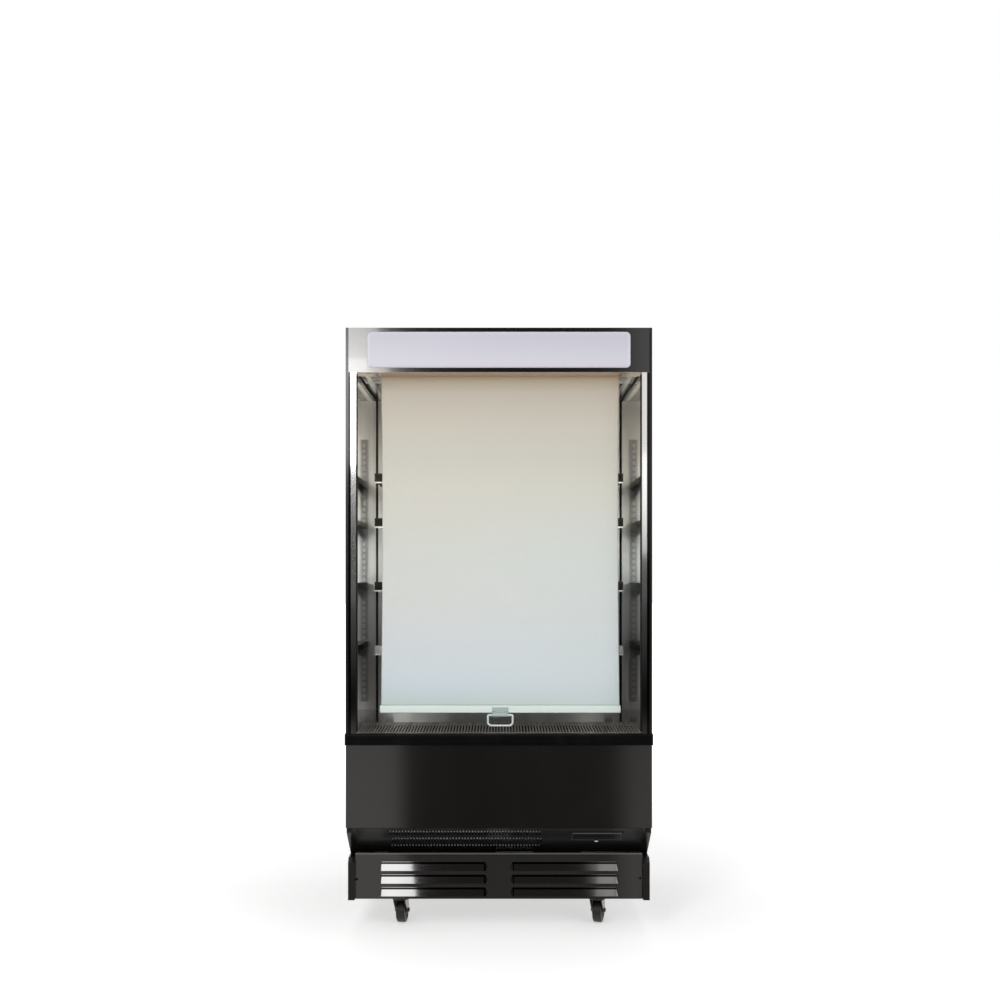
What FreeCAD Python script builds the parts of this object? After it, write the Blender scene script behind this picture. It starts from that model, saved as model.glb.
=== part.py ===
# Open multideck display fridge with a roll-down night curtain, as a parametric assembly.
#
# X runs to the right of someone who faces the fridge, Y to its back and Z up. The origin is on
# the floor, under the middle of the cabinet. Lengths are millimetres and angles degrees.
import FreeCAD, Part
import math
import os

import Sketcher

# Driving dimensions. Each name is the alias of a cell in the document's sheet.
SIZES = {
    # Cabinet
    "overall_width": 900,
    "overall_depth": 700,
    "overall_height": 1800,
    "side_thickness": 20,
    "liner_thickness": 10,
    "back_thickness": 50,
    "roof_thickness": 40,
    "sheet_metal": 1.5,
    "fit_gap": 0.25,
    # Foot and slanted corner of the side panels
    "foot_height": 126,
    "foot_setback": 50,
    "foot_chamfer": 14,
    "slant_setback": 110,
    "slant_height": 101,
    # Lower front cover and bumper
    "cover_height": 243,
    "cover_depth": 20,
    "bumper_height": 33,
    "bumper_projection": 6,
    "bumper_side": 3,
    "bumper_arm": 50,
    "bumper_round": 5,
    # Front edge trim and the step in the side panel that it seats in
    "trim_step": 12,
    "trim_depth": 16,
    # Canopy and sign
    "canopy_height": 131,
    "canopy_depth": 68,
    "window_width": 773,
    "window_height": 106,
    "window_drop": 12,
    "window_round": 13,
    "lens_thickness": 3,
    "lens_lip": 10,
    "lens_proud": 1.5,
    "lamp_width": 740,
    "lamp_depth": 20,
    "lamp_height": 10,
    # Tub, deck and return grille
    "tub_depth": 200,
    "tub_wall": 25,
    "deck_rise": 4,
    "deck_flange": 9,
    "deck_sheet": 2,
    "grille_front": 24,
    "grille_slope": 182,
    "grille_back": 232,
    "grille_drop": 6,
    "slot_pitch": 9,
    "slot_width": 4,
    "slot_columns": 93,
    "front_slot_start": 45,
    "front_slot_length": 132,
    "rear_slot_start": 188,
    "rear_slot_length": 36,
    # Duct panel, ceiling and air outlet
    "duct_setback": 560,
    "duct_slot_width": 150,
    "duct_slot_height": 6,
    "duct_slot_rows": 12,
    "duct_slot_pitch": 80,
    "duct_slot_spread": 200,
    "ceiling_drop": 125,
    "ceiling_flange": 22,
    "outlet_front": 142,
    "outlet_depth": 80,
    "outlet_height": 18,
    "outlet_rim": 8,
    "outlet_cell": 16,
    "outlet_cell_pitch": 20,
    "outlet_cells": 41,
    # Slotted uprights, brackets, shelves and price rails
    "upright_bottom": 640,
    "upright_width": 24,
    "upright_depth": 12,
    "upright_slots": 44,
    "upright_slot_pitch": 20,
    "upright_slot_width": 5,
    "upright_slot_height": 12,
    "upright_end": 20,
    "bracket_thickness": 3,
    "bracket_back_height": 58,
    "bracket_front_height": 16,
    "bracket_length": 300,
    "hook_depth": 7,
    "hook_height": 8,
    "hook_drop": 8,
    "shelf_width": 780,
    "shelf_setback": 222,
    "shelf_sheet": 1.5,
    "shelf_flange": 22,
    "shelf_slot_1": 36,
    "shelf_slot_2": 29,
    "shelf_slot_3": 19,
    "shelf_slot_4": 9,
    "rail_height": 26,
    "rail_depth": 5,
    "rail_lip": 3,
    # Night curtain
    "curtain_setback": 75,
    "curtain_shift": 4,
    "curtain_width": 716,
    "curtain_waist": 4,
    "curtain_thickness": 0.8,
    "curtain_gap": 0.3,
    "roller_radius": 20,
    "roller_rise": 43,
    "roller_pin_radius": 5,
    "roller_pin_length": 12,
    "pin_clearance": 0.1,
    "bracket_plate": 3,
    "bracket_drop": 34,
    "bottom_rail_width": 722,
    "bottom_rail_height": 22,
    "bottom_rail_depth": 10,
    "bottom_rail_level": 660,
    "bottom_rail_round": 3,
    # Handle
    "handle_width": 49,
    "handle_height": 22,
    "handle_sheet": 1.5,
    "barrel_radius": 5,
    "barrel_below": 6,
    "barrel_ahead": 5,
    "bail_wire": 3,
    "bail_width": 80,
    "bail_drop": 34,
    "bail_corner": 9,
    "bail_stub": 12,
    # Slanted vent panel
    "vent_slot_columns": 50,
    "vent_slot_pitch": 9,
    "vent_slot_width": 4,
    "vent_slot_length": 30,
    "vent_row_pitch": 41,
    "vent_row_top": 12,
    "vent_left": 323,
    # Control behind the flap
    "flap_left": 216,
    "flap_width": 147,
    "flap_height": 38,
    "flap_top": 29,
    "flap_thickness": 2,
    "flap_lap": 4,
    "flap_barrel": 2.2,
    "flap_pin": 1,
    "flap_pin_length": 3,
    "flap_ear": 4,
    "flap_knob_radius": 3.5,
    "flap_knob_length": 6,
    "control_depth": 22,
    "control_flange": 2.5,
    "display_width": 42,
    "display_height": 18,
    "display_recess": 0.8,
    "key_width": 11,
    "key_height": 9,
    "key_pitch": 16,
    "key_left": 64,
    "key_length": 5,
    "key_proud": 1.1,
    "key_gap": 0.3,
    "key_pocket": 8,
    "rocker_width": 18,
    "rocker_height": 12.6,
    "rocker_left": 112,
    "rocker_depth": 6,
    "rocker_pivot": 4,
    "rocker_tilt": 8,
    "rocker_gap": 0.5,
    "rocker_pocket": 9,
    "rocker_pin_radius": 1.2,
    "rocker_pin_length": 1.5,
    # Kick plate with pressed louvres
    "kick_setback": 65,
    "kick_height": 136,
    "kick_flange": 12,
    "louvre_length": 329,
    "louvre_height": 25,
    "louvre_projection": 9,
    "louvre_face": 0.78,
    "louvre_shoulder": 0.22,
    "louvre_pitch": 38,
    "louvre_rows": 3,
    "louvre_bottom": 10,
    "louvre_inner": 31,
    # Base tray
    "tray_floor": 3,
    "tray_rim": 24,
    # Casters
    "wheel_radius": 37.5,
    "wheel_width": 28,
    "wheel_bevel": 4,
    "axle_radius": 6,
    "axle_head": 4,
    "running_gap": 0.1,
    "caster_trail": 25,
    "caster_spread": 302,
    "caster_front": 155,
    "caster_back": 130,
    "caster_plate_length": 84,
    "caster_plate_width": 70,
    "caster_plate_thickness": 4,
    "raceway_radius": 26,
    "raceway_height": 10,
    "swivel_gap": 0.2,
    "crown_radius": 27,
    "crown_height": 10,
    "kingpin_radius": 6,
    "fork_leg": 3,
    "fork_side_gap": 2,
    "turn_front_left": -7,
    "turn_front_right": -15,
    "turn_rear_left": 0,
    "turn_rear_right": 0,
    "caster_height": 104,
    # Machine compartment
    "condenser_left": 340,
    "condenser_width": 330,
    "condenser_height": 250,
    "condenser_depth": 50,
    "condenser_setback": 120,
    "tube_radius": 5,
    "tube_pitch": 50,
    "tube_bends": 4,
    "fin_groove": 3,
    "fin_groove_pitch": 36,
    "fin_grooves": 9,
    "fin_groove_depth": 12,
    "shroud_ring_radius": 96,
    "shroud_ring_wall": 2,
    "shroud_ring_depth": 34,
    "fan_radius": 88,
    "fan_hub_radius": 30,
    "fan_hub_length": 22,
    "fan_blades": 5,
    "blade_chord": 60,
    "blade_rise": 18,
    "blade_thickness": 3,
    "motor_radius": 32,
    "motor_length": 40,
    "motor_gap": 1,
    "strut_width": 10,
    "strut_thickness": 3,
    "compressor_radius": 82,
    "compressor_height": 185,
    "compressor_right": 190,
    "compressor_setback": 400,
    "compressor_foot": 10,
    "compressor_base_width": 200,
    "compressor_base_depth": 150,
    "terminal_box": 50,
    "grille_recess": 12,
    "rear_slot_rows": 7,
    "rear_slot_pitch": 30,
    "rear_slot_bottom": 40,
    "rear_slot_span": 220,
    "rear_slot_height": 8,
    "rear_slot_spread": 260,
    "gland_radius": 11,
    "gland_bore": 4.5,
    "gland_right": 380,
    "gland_rise": 30,
    # Evaporator in the tub
    "evaporator_width": 620,
    "evaporator_depth": 170,
    "evaporator_height": 90,
    "cowl_setback": 380,
    "cowl_radius": 70,
    "cowl_ring_depth": 24,
    "cowl_fan_radius": 64,
    "cowl_hub_radius": 24,
    "cowl_hub_length": 16,
    "cowl_blade_chord": 44,
    "cowl_blade_rise": 12,
    "cowl_motor_length": 30,
}

document = FreeCAD.newDocument("MultideckFridge")
sheet = document.addObject("Spreadsheet::Sheet", "Sizes")
for row, (alias, number) in enumerate(SIZES.items(), start=1):
    sheet.set(f"A{row}", alias)
    sheet.set(f"B{row}", str(number))
    sheet.setAlias(f"B{row}", alias)
document.recompute()


class Size:
    """A length, an angle or a count, written as an expression of the sheet's cells."""

    def __init__(self, text):
        self.text = str(text)

    def __str__(self):
        return self.text

    def __float__(self):
        result = sheet.evalExpression(self.text)
        return float(getattr(result, "Value", result))

    def __add__(self, other):
        return Size(f"({self} + {other})")

    def __radd__(self, other):
        return Size(f"({other} + {self})")

    def __sub__(self, other):
        return Size(f"({self} - {other})")

    def __rsub__(self, other):
        return Size(f"({other} - {self})")

    def __mul__(self, other):
        return Size(f"({self} * {other})")

    def __rmul__(self, other):
        return Size(f"({other} * {self})")

    def __truediv__(self, other):
        return Size(f"({self} / {other})")

    def __neg__(self):
        return Size(f"(0 - {self})")


class Cells:
    """Gives each cell of the sheet as a Size, by its alias."""

    def __getattr__(self, alias):
        return Size(f"Sizes.{alias}")


cell = Cells()


def hypotenuse(across, along):
    """Length of the slope over two square sides."""
    return Size(f"sqrt({across} * {across} + {along} * {along})")


# Places that several pieces share.
HALF_WIDTH = cell.overall_width / 2
INNER_HALF = HALF_WIDTH - cell.side_thickness
LINER_HALF = INNER_HALF - cell.liner_thickness
FIT_HALF = INNER_HALF - cell.fit_gap
INSIDE_HALF = LINER_HALF - cell.fit_gap
FRONT = cell.bumper_projection - cell.overall_depth / 2
BACK = cell.overall_depth / 2
BASE = cell.caster_height
TOP = cell.overall_height
FOOT_TOP = BASE + cell.foot_height
SLANT_TOP = FOOT_TOP + cell.slant_height
COVER_TOP = SLANT_TOP + cell.cover_height
BUMPER_TOP = COVER_TOP + cell.bumper_height
DECK_TOP = BUMPER_TOP + cell.deck_rise
TUB_TOP = DECK_TOP - cell.deck_sheet - cell.deck_flange
TUB_BOTTOM = TUB_TOP - cell.tub_depth
CANOPY_BOTTOM = TOP - cell.canopy_height
ROOF_BOTTOM = TOP - cell.roof_thickness
CEILING = TOP - cell.ceiling_drop
COVER_BACK = FRONT + cell.cover_depth
DUCT_FACE = FRONT + cell.duct_setback
BACK_PANEL_FACE = BACK - cell.back_thickness
UPRIGHT_FACE = DUCT_FACE - cell.fit_gap - cell.upright_depth
KICK_FACE = FRONT + cell.kick_setback
SHELF_HALF = cell.shelf_width / 2
UPRIGHT_CENTRE = SHELF_HALF - cell.shelf_sheet - cell.fit_gap - cell.upright_width / 2
SLANT_LENGTH = hypotenuse(cell.slant_setback, cell.slant_height)
SLANT_ANGLE = Size(f"(atan2({cell.slant_setback}; {cell.slant_height}) / (1 deg))")
CURTAIN_FACE = FRONT + cell.curtain_setback
ROLLER_Y = CURTAIN_FACE + cell.curtain_thickness + cell.curtain_gap + cell.roller_radius
ROLLER_Z = CANOPY_BOTTOM + cell.roller_rise
MITRED = 1  # transition of a sweep at its corners
BAIL_Y = CURTAIN_FACE + (cell.curtain_thickness - cell.bottom_rail_depth) / 2 - cell.barrel_ahead
BAIL_Z = cell.bottom_rail_level - cell.barrel_below
TRAY_TOP = BASE + cell.tray_floor
FAN_Z = TRAY_TOP + cell.condenser_height / 2
FAN_X = cell.condenser_width / 2 - cell.condenser_left
SHROUD_Y = FRONT + cell.condenser_setback + cell.condenser_depth + cell.fit_gap
COWL_Y = FRONT + cell.cowl_setback
COWL_Z = TUB_BOTTOM + cell.tub_wall + cell.fit_gap + cell.cowl_radius + cell.tub_wall
EVAPORATOR_Y = COWL_Y - cell.evaporator_depth
EVAPORATOR_Z = TUB_BOTTOM + cell.tub_wall + cell.fit_gap

PLANES = {"XY": "XY_Plane", "XZ": "XZ_Plane", "YZ": "YZ_Plane"}
MODEL = {}


def bind(item, name, size):
    """Tie a property of item to an expression of the sheet."""
    item.setExpression(name, str(size))


def place(item, x=0, y=0, z=0, axis=None, angle=0):
    """Put item at x, y, z, turned by angle about axis."""
    spindle = FreeCAD.Vector(*(axis or (0, 0, 1)))
    item.Placement = FreeCAD.Placement(FreeCAD.Vector(), FreeCAD.Rotation(spindle, float(angle)))
    for name, size in zip("xyz", (x, y, z)):
        bind(item, f"Placement.Base.{name}", size)
    if axis:
        bind(item, "Placement.Rotation.Angle", angle)
    return item


def on_slant(item):
    """Put item in the slanted panel's frame: its top outer edge, with -Z down the slope."""
    return place(item, 0, FRONT, SLANT_TOP, axis=(1, 0, 0), angle=SLANT_ANGLE)


def keep(item, label):
    """Give item its label and list it as a piece of the fridge."""
    item.Label = label
    MODEL[label] = item
    return item


def new_body(label):
    """An empty body for the piece called label."""
    return keep(document.addObject("PartDesign::Body", label), label)


def new_sketch(body, plane, offset=0):
    """A sketch on one of the body's origin planes, moved along the plane's normal by offset."""
    sketch = body.newObject("Sketcher::SketchObject", f"{body.Name}_{plane}_sketch")
    role = PLANES[plane]
    support = next(item for item in body.Origin.OriginFeatures if item.Role == role)
    sketch.AttachmentSupport = [(support, "")]
    sketch.MapMode = "FlatFace"
    bind(sketch, "AttachmentOffset.Base.z", offset)
    return sketch


def pin(sketch, geometry, point, x, y):
    """Hold one point of a sketch at x, y."""
    for kind, size in (("DistanceX", x), ("DistanceY", y)):
        rule = Sketcher.Constraint(kind, -1, 1, geometry, point, float(size))
        index = sketch.addConstraint(rule)
        bind(sketch, f"Constraints[{index}]", size)


def draw_outline(sketch, corners):
    """A closed outline of straight lines. A third value in a corner makes the line that starts
    there an arc, with its centre at that height."""
    points = [FreeCAD.Vector(float(corner[0]), float(corner[1]), 0) for corner in corners]
    first = sketch.GeometryCount
    count = len(corners)
    for index, corner in enumerate(corners):
        start, end = points[index], points[(index + 1) % count]
        if len(corner) == 3:
            sketch.addGeometry(arc_between(start, end, float(corner[2])), False)
        else:
            sketch.addGeometry(Part.LineSegment(start, end), False)
    ends = [curve_ends(sketch.Geometry[first + index], points[index]) for index in range(count)]
    for index, corner in enumerate(corners):
        following = (index + 1) % count
        meeting = (first + index, ends[index][1], first + following, ends[following][0])
        sketch.addConstraint(Sketcher.Constraint("Coincident", *meeting))
    for index, corner in enumerate(corners):
        pin(sketch, first + index, ends[index][0], corner[0], corner[1])
        if len(corner) == 3:
            height = Sketcher.Constraint("DistanceY", -1, 1, first + index, 3, float(corner[2]))
            number = sketch.addConstraint(height)
            bind(sketch, f"Constraints[{number}]", corner[2])
    return sketch


def arc_between(start, end, height):
    """The short arc from start to end whose centre is at height."""
    run, rise = end.x - start.x, end.y - start.y
    middle = (start + end) / 2
    upright = FreeCAD.Vector(0, 0, 1)
    centre = FreeCAD.Vector(middle.x - rise * (height - middle.y) / run, height, 0)
    circle = Part.Circle(centre, upright, centre.distanceToPoint(start))
    begin, finish = circle.parameter(start), circle.parameter(end)
    if (start - centre).cross(end - centre).z < 0:
        begin, finish = finish, begin
    return Part.ArcOfCircle(circle, begin, finish)


def curve_ends(curve, start):
    """Numbers of the curve's own start and end points, in the order that begins at start."""
    return (1, 2) if curve.StartPoint.distanceToPoint(start) < 1e-6 else (2, 1)


def draw_rectangle(sketch, left, bottom, right, top):
    """A plain rectangle."""
    return draw_outline(sketch, [(left, bottom), (right, bottom), (right, top), (left, top)])


def draw_rounded(sketch, left, bottom, right, top, radius):
    """A rectangle with one radius at its four corners."""
    centres = [
        (right - radius, bottom + radius, 270),
        (right - radius, top - radius, 0),
        (left + radius, top - radius, 90),
        (left + radius, bottom + radius, 180),
    ]
    upright = FreeCAD.Vector(0, 0, 1)
    arcs = []
    for x, y, start in centres:
        circle = Part.Circle(FreeCAD.Vector(float(x), float(y), 0), upright, float(radius))
        sweep = [math.radians(angle) for angle in (start, start + 90)]
        arcs.append(sketch.addGeometry(Part.ArcOfCircle(circle, *sweep), False))
    for index, (x, y, start) in enumerate(centres):
        following = (index + 1) % 4
        begin = sketch.Geometry[arcs[index]].EndPoint
        finish = sketch.Geometry[arcs[following]].StartPoint
        line = sketch.addGeometry(Part.LineSegment(begin, finish), False)
        sketch.addConstraint(Sketcher.Constraint("Tangent", arcs[index], 2, line, 1))
        sketch.addConstraint(Sketcher.Constraint("Tangent", line, 2, arcs[following], 1))
    for arc, (x, y, start) in zip(arcs, centres):
        pin(sketch, arc, 3, x, y)
        number = sketch.addConstraint(Sketcher.Constraint("Radius", arc, float(radius)))
        bind(sketch, f"Constraints[{number}]", radius)
    return sketch


def draw_circle(sketch, x, y, radius):
    """A circle."""
    centre = FreeCAD.Vector(float(x), float(y), 0)
    round_one = Part.Circle(centre, FreeCAD.Vector(0, 0, 1), float(radius))
    index = sketch.addGeometry(round_one, False)
    pin(sketch, index, 3, x, y)
    number = sketch.addConstraint(Sketcher.Constraint("Radius", index, float(radius)))
    bind(sketch, f"Constraints[{number}]", radius)
    return sketch


def swell(body, sketch, length, backwards=False):
    """Pad a sketch along its normal, or against it."""
    pad = body.newObject("PartDesign::Pad", f"{body.Name}_pad")
    pad.Profile = sketch
    pad.Reversed = backwards
    bind(pad, "Length", length)
    return pad


def sink(body, sketch, length, backwards=False):
    """Cut a pocket against the sketch's normal, or along it."""
    pocket = body.newObject("PartDesign::Pocket", f"{body.Name}_pocket")
    pocket.Profile = sketch
    pocket.Reversed = backwards
    bind(pocket, "Length", length)
    return pocket


def turn(body, kind, sketch, angle=360, backwards=False):
    """Revolve a sketch about its own vertical axis, as a Revolution or a Groove."""
    feature = body.newObject(f"PartDesign::{kind}", f"{body.Name}_{kind.lower()}")
    feature.Profile = sketch
    feature.ReferenceAxis = (sketch, ["V_Axis"])
    feature.Angle = angle
    feature.Reversed = backwards
    return feature


def row_of(body, features, sketch, axis, pitch, count):
    """Repeat features along an axis of a sketch, count times in all."""
    pattern = body.newObject("PartDesign::LinearPattern", f"{body.Name}_row")
    for feature in [*features, pattern]:
        feature.Refine = False
    pattern.Originals = features
    pattern.Direction = (sketch, [axis])
    bind(pattern, "Length", pitch * (count - 1))
    bind(pattern, "Occurrences", count)
    body.Tip = pattern
    return pattern


def extrude(label, plane, offset, corners, length):
    """A body made by padding one straight-sided outline."""
    body = new_body(label)
    swell(body, draw_outline(new_sketch(body, plane, offset), corners), length)
    return body


def block(label, x, y, z, length, width, height):
    """A plain box with its low corner at x, y, z."""
    box = document.addObject("Part::Box", label.replace(" ", "_"))
    for name, size in (("Length", length), ("Width", width), ("Height", height)):
        bind(box, name, size)
    box.Label = label
    return place(box, x, y, z)


def rod(label, x, y, z, radius, length, axis=None, angle=0):
    """A cylinder that starts at x, y, z."""
    cylinder = document.addObject("Part::Cylinder", label.replace(" ", "_"))
    bind(cylinder, "Radius", radius)
    bind(cylinder, "Height", length)
    cylinder.Label = label
    return place(cylinder, x, y, z, axis, angle)


def cut(label, base, *tools):
    """The base with every tool taken out of it."""
    result = document.addObject("Part::Cut", label.replace(" ", "_") + "_cut")
    result.Base = base
    result.Tool = tools[0] if len(tools) == 1 else fuse(f"{label} tools", *tools)
    result.Label = label
    return result


def fuse(label, *items):
    """One solid of several that touch or overlap."""
    result = document.addObject("Part::MultiFuse", label.replace(" ", "_"))
    result.Shapes = list(items)
    result.Refine = True
    result.Label = label
    return result


def gather(label, *items):
    """Several equal solids that share one file."""
    result = document.addObject("Part::Compound", label.replace(" ", "_"))
    result.Links = list(items)
    return keep(result, label)


# ---------------------------------------------------------------- cabinet


def side_outline():
    """Profile of a side panel: foot, slanted corner, and the steps for the front pieces."""
    step_back = COVER_BACK
    slant_at_step = SLANT_TOP - cell.cover_depth * cell.slant_height / cell.slant_setback
    return [
        (FRONT, TOP),
        (FRONT, BUMPER_TOP),
        (step_back, BUMPER_TOP),
        (step_back, slant_at_step),
        (FRONT + cell.slant_setback, FOOT_TOP),
        (FRONT + cell.foot_setback + cell.foot_chamfer, FOOT_TOP),
        (FRONT + cell.foot_setback, FOOT_TOP - cell.foot_chamfer),
        (FRONT + cell.foot_setback, BASE),
        (BACK, BASE),
        (BACK, TOP),
    ]


def make_side_panel(label, side):
    """Outer side panel, with a step along its front edge for the trim and the canopy."""
    low = INNER_HALF if side > 0 else -HALF_WIDTH
    body = extrude(label, "YZ", low, side_outline(), cell.side_thickness)
    left = INNER_HALF if side > 0 else -INNER_HALF - cell.trim_step
    right = INNER_HALF + cell.trim_step if side > 0 else -INNER_HALF
    trim = draw_rectangle(new_sketch(body, "XZ", -FRONT), left, BUMPER_TOP, right, CANOPY_BOTTOM)
    sink(body, trim, cell.trim_depth)
    canopy = draw_rectangle(new_sketch(body, "XZ", -FRONT), left, CANOPY_BOTTOM, right, TOP)
    sink(body, canopy, cell.canopy_depth)
    return body


def make_liner(label, side):
    """Polished lining of one side wall, between the tub and the roof."""
    front = FRONT + cell.trim_depth + cell.fit_gap
    low = LINER_HALF if side > 0 else -FIT_HALF
    base = TUB_TOP + cell.fit_gap
    top = ROOF_BOTTOM - cell.fit_gap
    behind_canopy = FRONT + cell.canopy_depth + cell.fit_gap
    corners = [
        (front, BUMPER_TOP + cell.fit_gap),
        (COVER_BACK, BUMPER_TOP + cell.fit_gap),
        (COVER_BACK, base),
        (BACK_PANEL_FACE - cell.fit_gap, base),
        (BACK_PANEL_FACE - cell.fit_gap, top),
        (behind_canopy, top),
        (behind_canopy, CANOPY_BOTTOM - cell.fit_gap),
        (front, CANOPY_BOTTOM - cell.fit_gap),
    ]
    return extrude(label, "YZ", low, corners, cell.liner_thickness - cell.fit_gap)


def make_front_trim(label, side):
    """Bright channel that caps the front edges of one side panel and its lining."""
    inner, outer = LINER_HALF, INNER_HALF + cell.trim_step - cell.fit_gap
    wall = cell.sheet_metal
    back = FRONT + cell.trim_depth - cell.fit_gap
    half = [
        (inner, FRONT),
        (outer, FRONT),
        (outer, back),
        (outer - wall, back),
        (outer - wall, FRONT + wall),
        (inner + wall, FRONT + wall),
        (inner + wall, back),
        (inner, back),
    ]
    corners = [(x if side > 0 else -x, y) for x, y in half]
    height = CANOPY_BOTTOM - BUMPER_TOP - cell.fit_gap * 2
    return extrude(label, "XY", BUMPER_TOP + cell.fit_gap, corners, height)


def make_tray(label):
    """Folded base tray that carries the machine and the casters."""
    body = new_body(label)
    front, back = KICK_FACE + cell.sheet_metal + cell.fit_gap, BACK - cell.sheet_metal
    blank = draw_rectangle(new_sketch(body, "XY", BASE), -FIT_HALF, front, FIT_HALF, back)
    swell(body, blank, cell.tray_floor + cell.tray_rim)
    wall = cell.tray_floor
    inside = new_sketch(body, "XY", BASE + wall + cell.tray_rim)
    draw_rectangle(inside, wall - FIT_HALF, front + wall, FIT_HALF - wall, back - wall)
    sink(body, inside, cell.tray_rim)
    return body


def make_back_panel(label):
    """Insulated back wall above the machine compartment, with a step for the tub."""
    top = ROOF_BOTTOM - cell.fit_gap
    corners = [(BACK_PANEL_FACE, TUB_BOTTOM), (BACK, TUB_BOTTOM), (BACK, top), (BACK_PANEL_FACE, top)]
    return extrude(label, "YZ", -FIT_HALF, corners, FIT_HALF * 2)


def make_roof(label):
    """Insulated roof behind the canopy."""
    front = FRONT + cell.canopy_depth + cell.fit_gap
    corners = [(front, ROOF_BOTTOM), (BACK, ROOF_BOTTOM), (BACK, TOP), (front, TOP)]
    return extrude(label, "YZ", -FIT_HALF, corners, FIT_HALF * 2)


def make_tub(label):
    """Insulated tub under the deck, open at the top."""
    body = new_body(label)
    front, back = COVER_BACK + cell.fit_gap, BACK_PANEL_FACE - cell.fit_gap
    blank = draw_rectangle(new_sketch(body, "XY", TUB_BOTTOM), -FIT_HALF, front, FIT_HALF, back)
    swell(body, blank, cell.tub_depth)
    wall = cell.tub_wall
    inside = new_sketch(body, "XY", TUB_TOP)
    draw_rectangle(inside, wall - FIT_HALF, front + wall, FIT_HALF - wall, back - wall)
    sink(body, inside, cell.tub_depth - wall)
    return body


def make_lower_cover(label):
    """Glossy folded cover under the bumper."""
    body = new_body(label)
    half = HALF_WIDTH - cell.fit_gap
    low, high = SLANT_TOP, COVER_TOP - cell.fit_gap
    swell(body, draw_rectangle(new_sketch(body, "XZ", -COVER_BACK), -half, low, half, high),
          cell.cover_depth)
    wall = cell.sheet_metal
    inside = new_sketch(body, "XZ", -FRONT - wall)
    draw_rectangle(inside, wall - half, low + wall, half - wall, high - wall)
    sink(body, inside, cell.cover_depth)
    return body


def make_bumper(label):
    """Bumper bar with an arm round each front corner of the cabinet."""
    outer = HALF_WIDTH + cell.bumper_side
    inner = HALF_WIDTH + cell.fit_gap
    front, arm = FRONT - cell.bumper_projection, FRONT + cell.bumper_arm
    bar_back = COVER_BACK - cell.fit_gap
    corners = [
        (-outer, front),
        (outer, front),
        (outer, arm),
        (inner, arm),
        (inner, bar_back),
        (-inner, bar_back),
        (-inner, arm),
        (-outer, arm),
    ]
    body = extrude(label, "XY", COVER_TOP, corners, cell.bumper_height - cell.fit_gap)
    document.recompute()
    lead = float(front)
    edges = [
        f"Edge{number}"
        for number, edge in enumerate(body.Shape.Edges, start=1)
        if edge.CenterOfMass.y < lead + 0.01
    ]
    bar = body.Tip
    fillet = body.newObject("PartDesign::Fillet", f"{label}_fillet")
    fillet.Base = (bar, edges)
    bind(fillet, "Radius", cell.bumper_round)
    return body


# ---------------------------------------------------------------- canopy and sign


def make_canopy(label):
    """Folded canopy box, open at the back, with the rounded window of the sign."""
    body = new_body(label)
    half = INNER_HALF + cell.trim_step - cell.fit_gap
    back = FRONT + cell.canopy_depth
    blank = draw_rectangle(new_sketch(body, "XZ", -back), -half, CANOPY_BOTTOM, half, TOP)
    swell(body, blank, cell.canopy_depth)
    wall = cell.sheet_metal
    inside = new_sketch(body, "XZ", -FRONT - wall)
    draw_rectangle(inside, wall - half, CANOPY_BOTTOM + wall, half - wall, TOP - wall)
    sink(body, inside, cell.canopy_depth)
    window = new_sketch(body, "XZ", -FRONT)
    high = TOP - cell.window_drop
    low = high - cell.window_height
    draw_rounded(window, -cell.window_width / 2, low, cell.window_width / 2, high, cell.window_round)
    sink(body, window, wall * 2)
    return body


def make_lens(label):
    """Translucent sign panel: a rim behind the window and a face that stands a little proud."""
    body = new_body(label)
    high = TOP - cell.window_drop
    low = high - cell.window_height
    half = cell.window_width / 2
    wall, lip, gap = cell.sheet_metal, cell.lens_lip, cell.fit_gap
    rim_back = FRONT + wall + gap + cell.lens_thickness
    rim = new_sketch(body, "XZ", -rim_back)
    draw_rounded(rim, -half - lip, low - lip, half + lip, high + lip - gap, cell.window_round)
    swell(body, rim, cell.lens_thickness)
    face = new_sketch(body, "XZ", -rim_back)
    radius = cell.window_round - gap
    draw_rounded(face, gap - half, low + gap, half - gap, high - gap, radius)
    swell(body, face, cell.lens_thickness + gap + wall + cell.lens_proud)
    return body


def make_lamp(label):
    """Lamp bar under the canopy's top, behind the sign."""
    body = new_body(label)
    high = TOP - cell.sheet_metal - cell.fit_gap
    low = high - cell.lamp_height
    near = FRONT + cell.canopy_depth / 2 - cell.lamp_depth / 2
    far = near + cell.lamp_depth
    bevel = cell.lamp_height / 2
    corners = [(near, high), (far, high), (far, low + bevel), (far - bevel, low),
               (near + bevel, low), (near, low + bevel)]
    sketch = draw_outline(new_sketch(body, "YZ", -cell.lamp_width / 2), corners)
    swell(body, sketch, cell.lamp_width)
    return body


# ---------------------------------------------------------------- inside of the cabinet


def make_deck(label):
    """Polished deck pan with turned-down sides and a raised back edge."""
    front, back = FRONT + cell.grille_back + cell.fit_gap, DUCT_FACE - cell.fit_gap
    body = new_body(label)
    low = TUB_TOP
    half = INSIDE_HALF
    swell(body, draw_rectangle(new_sketch(body, "XY", low), -half, front, half, back),
          cell.deck_sheet + cell.deck_flange)
    wall = cell.deck_sheet
    under = new_sketch(body, "XY", low)
    draw_rectangle(under, wall - half, front + wall, half - wall, back - wall)
    sink(body, under, cell.deck_flange, backwards=True)
    return body


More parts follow.
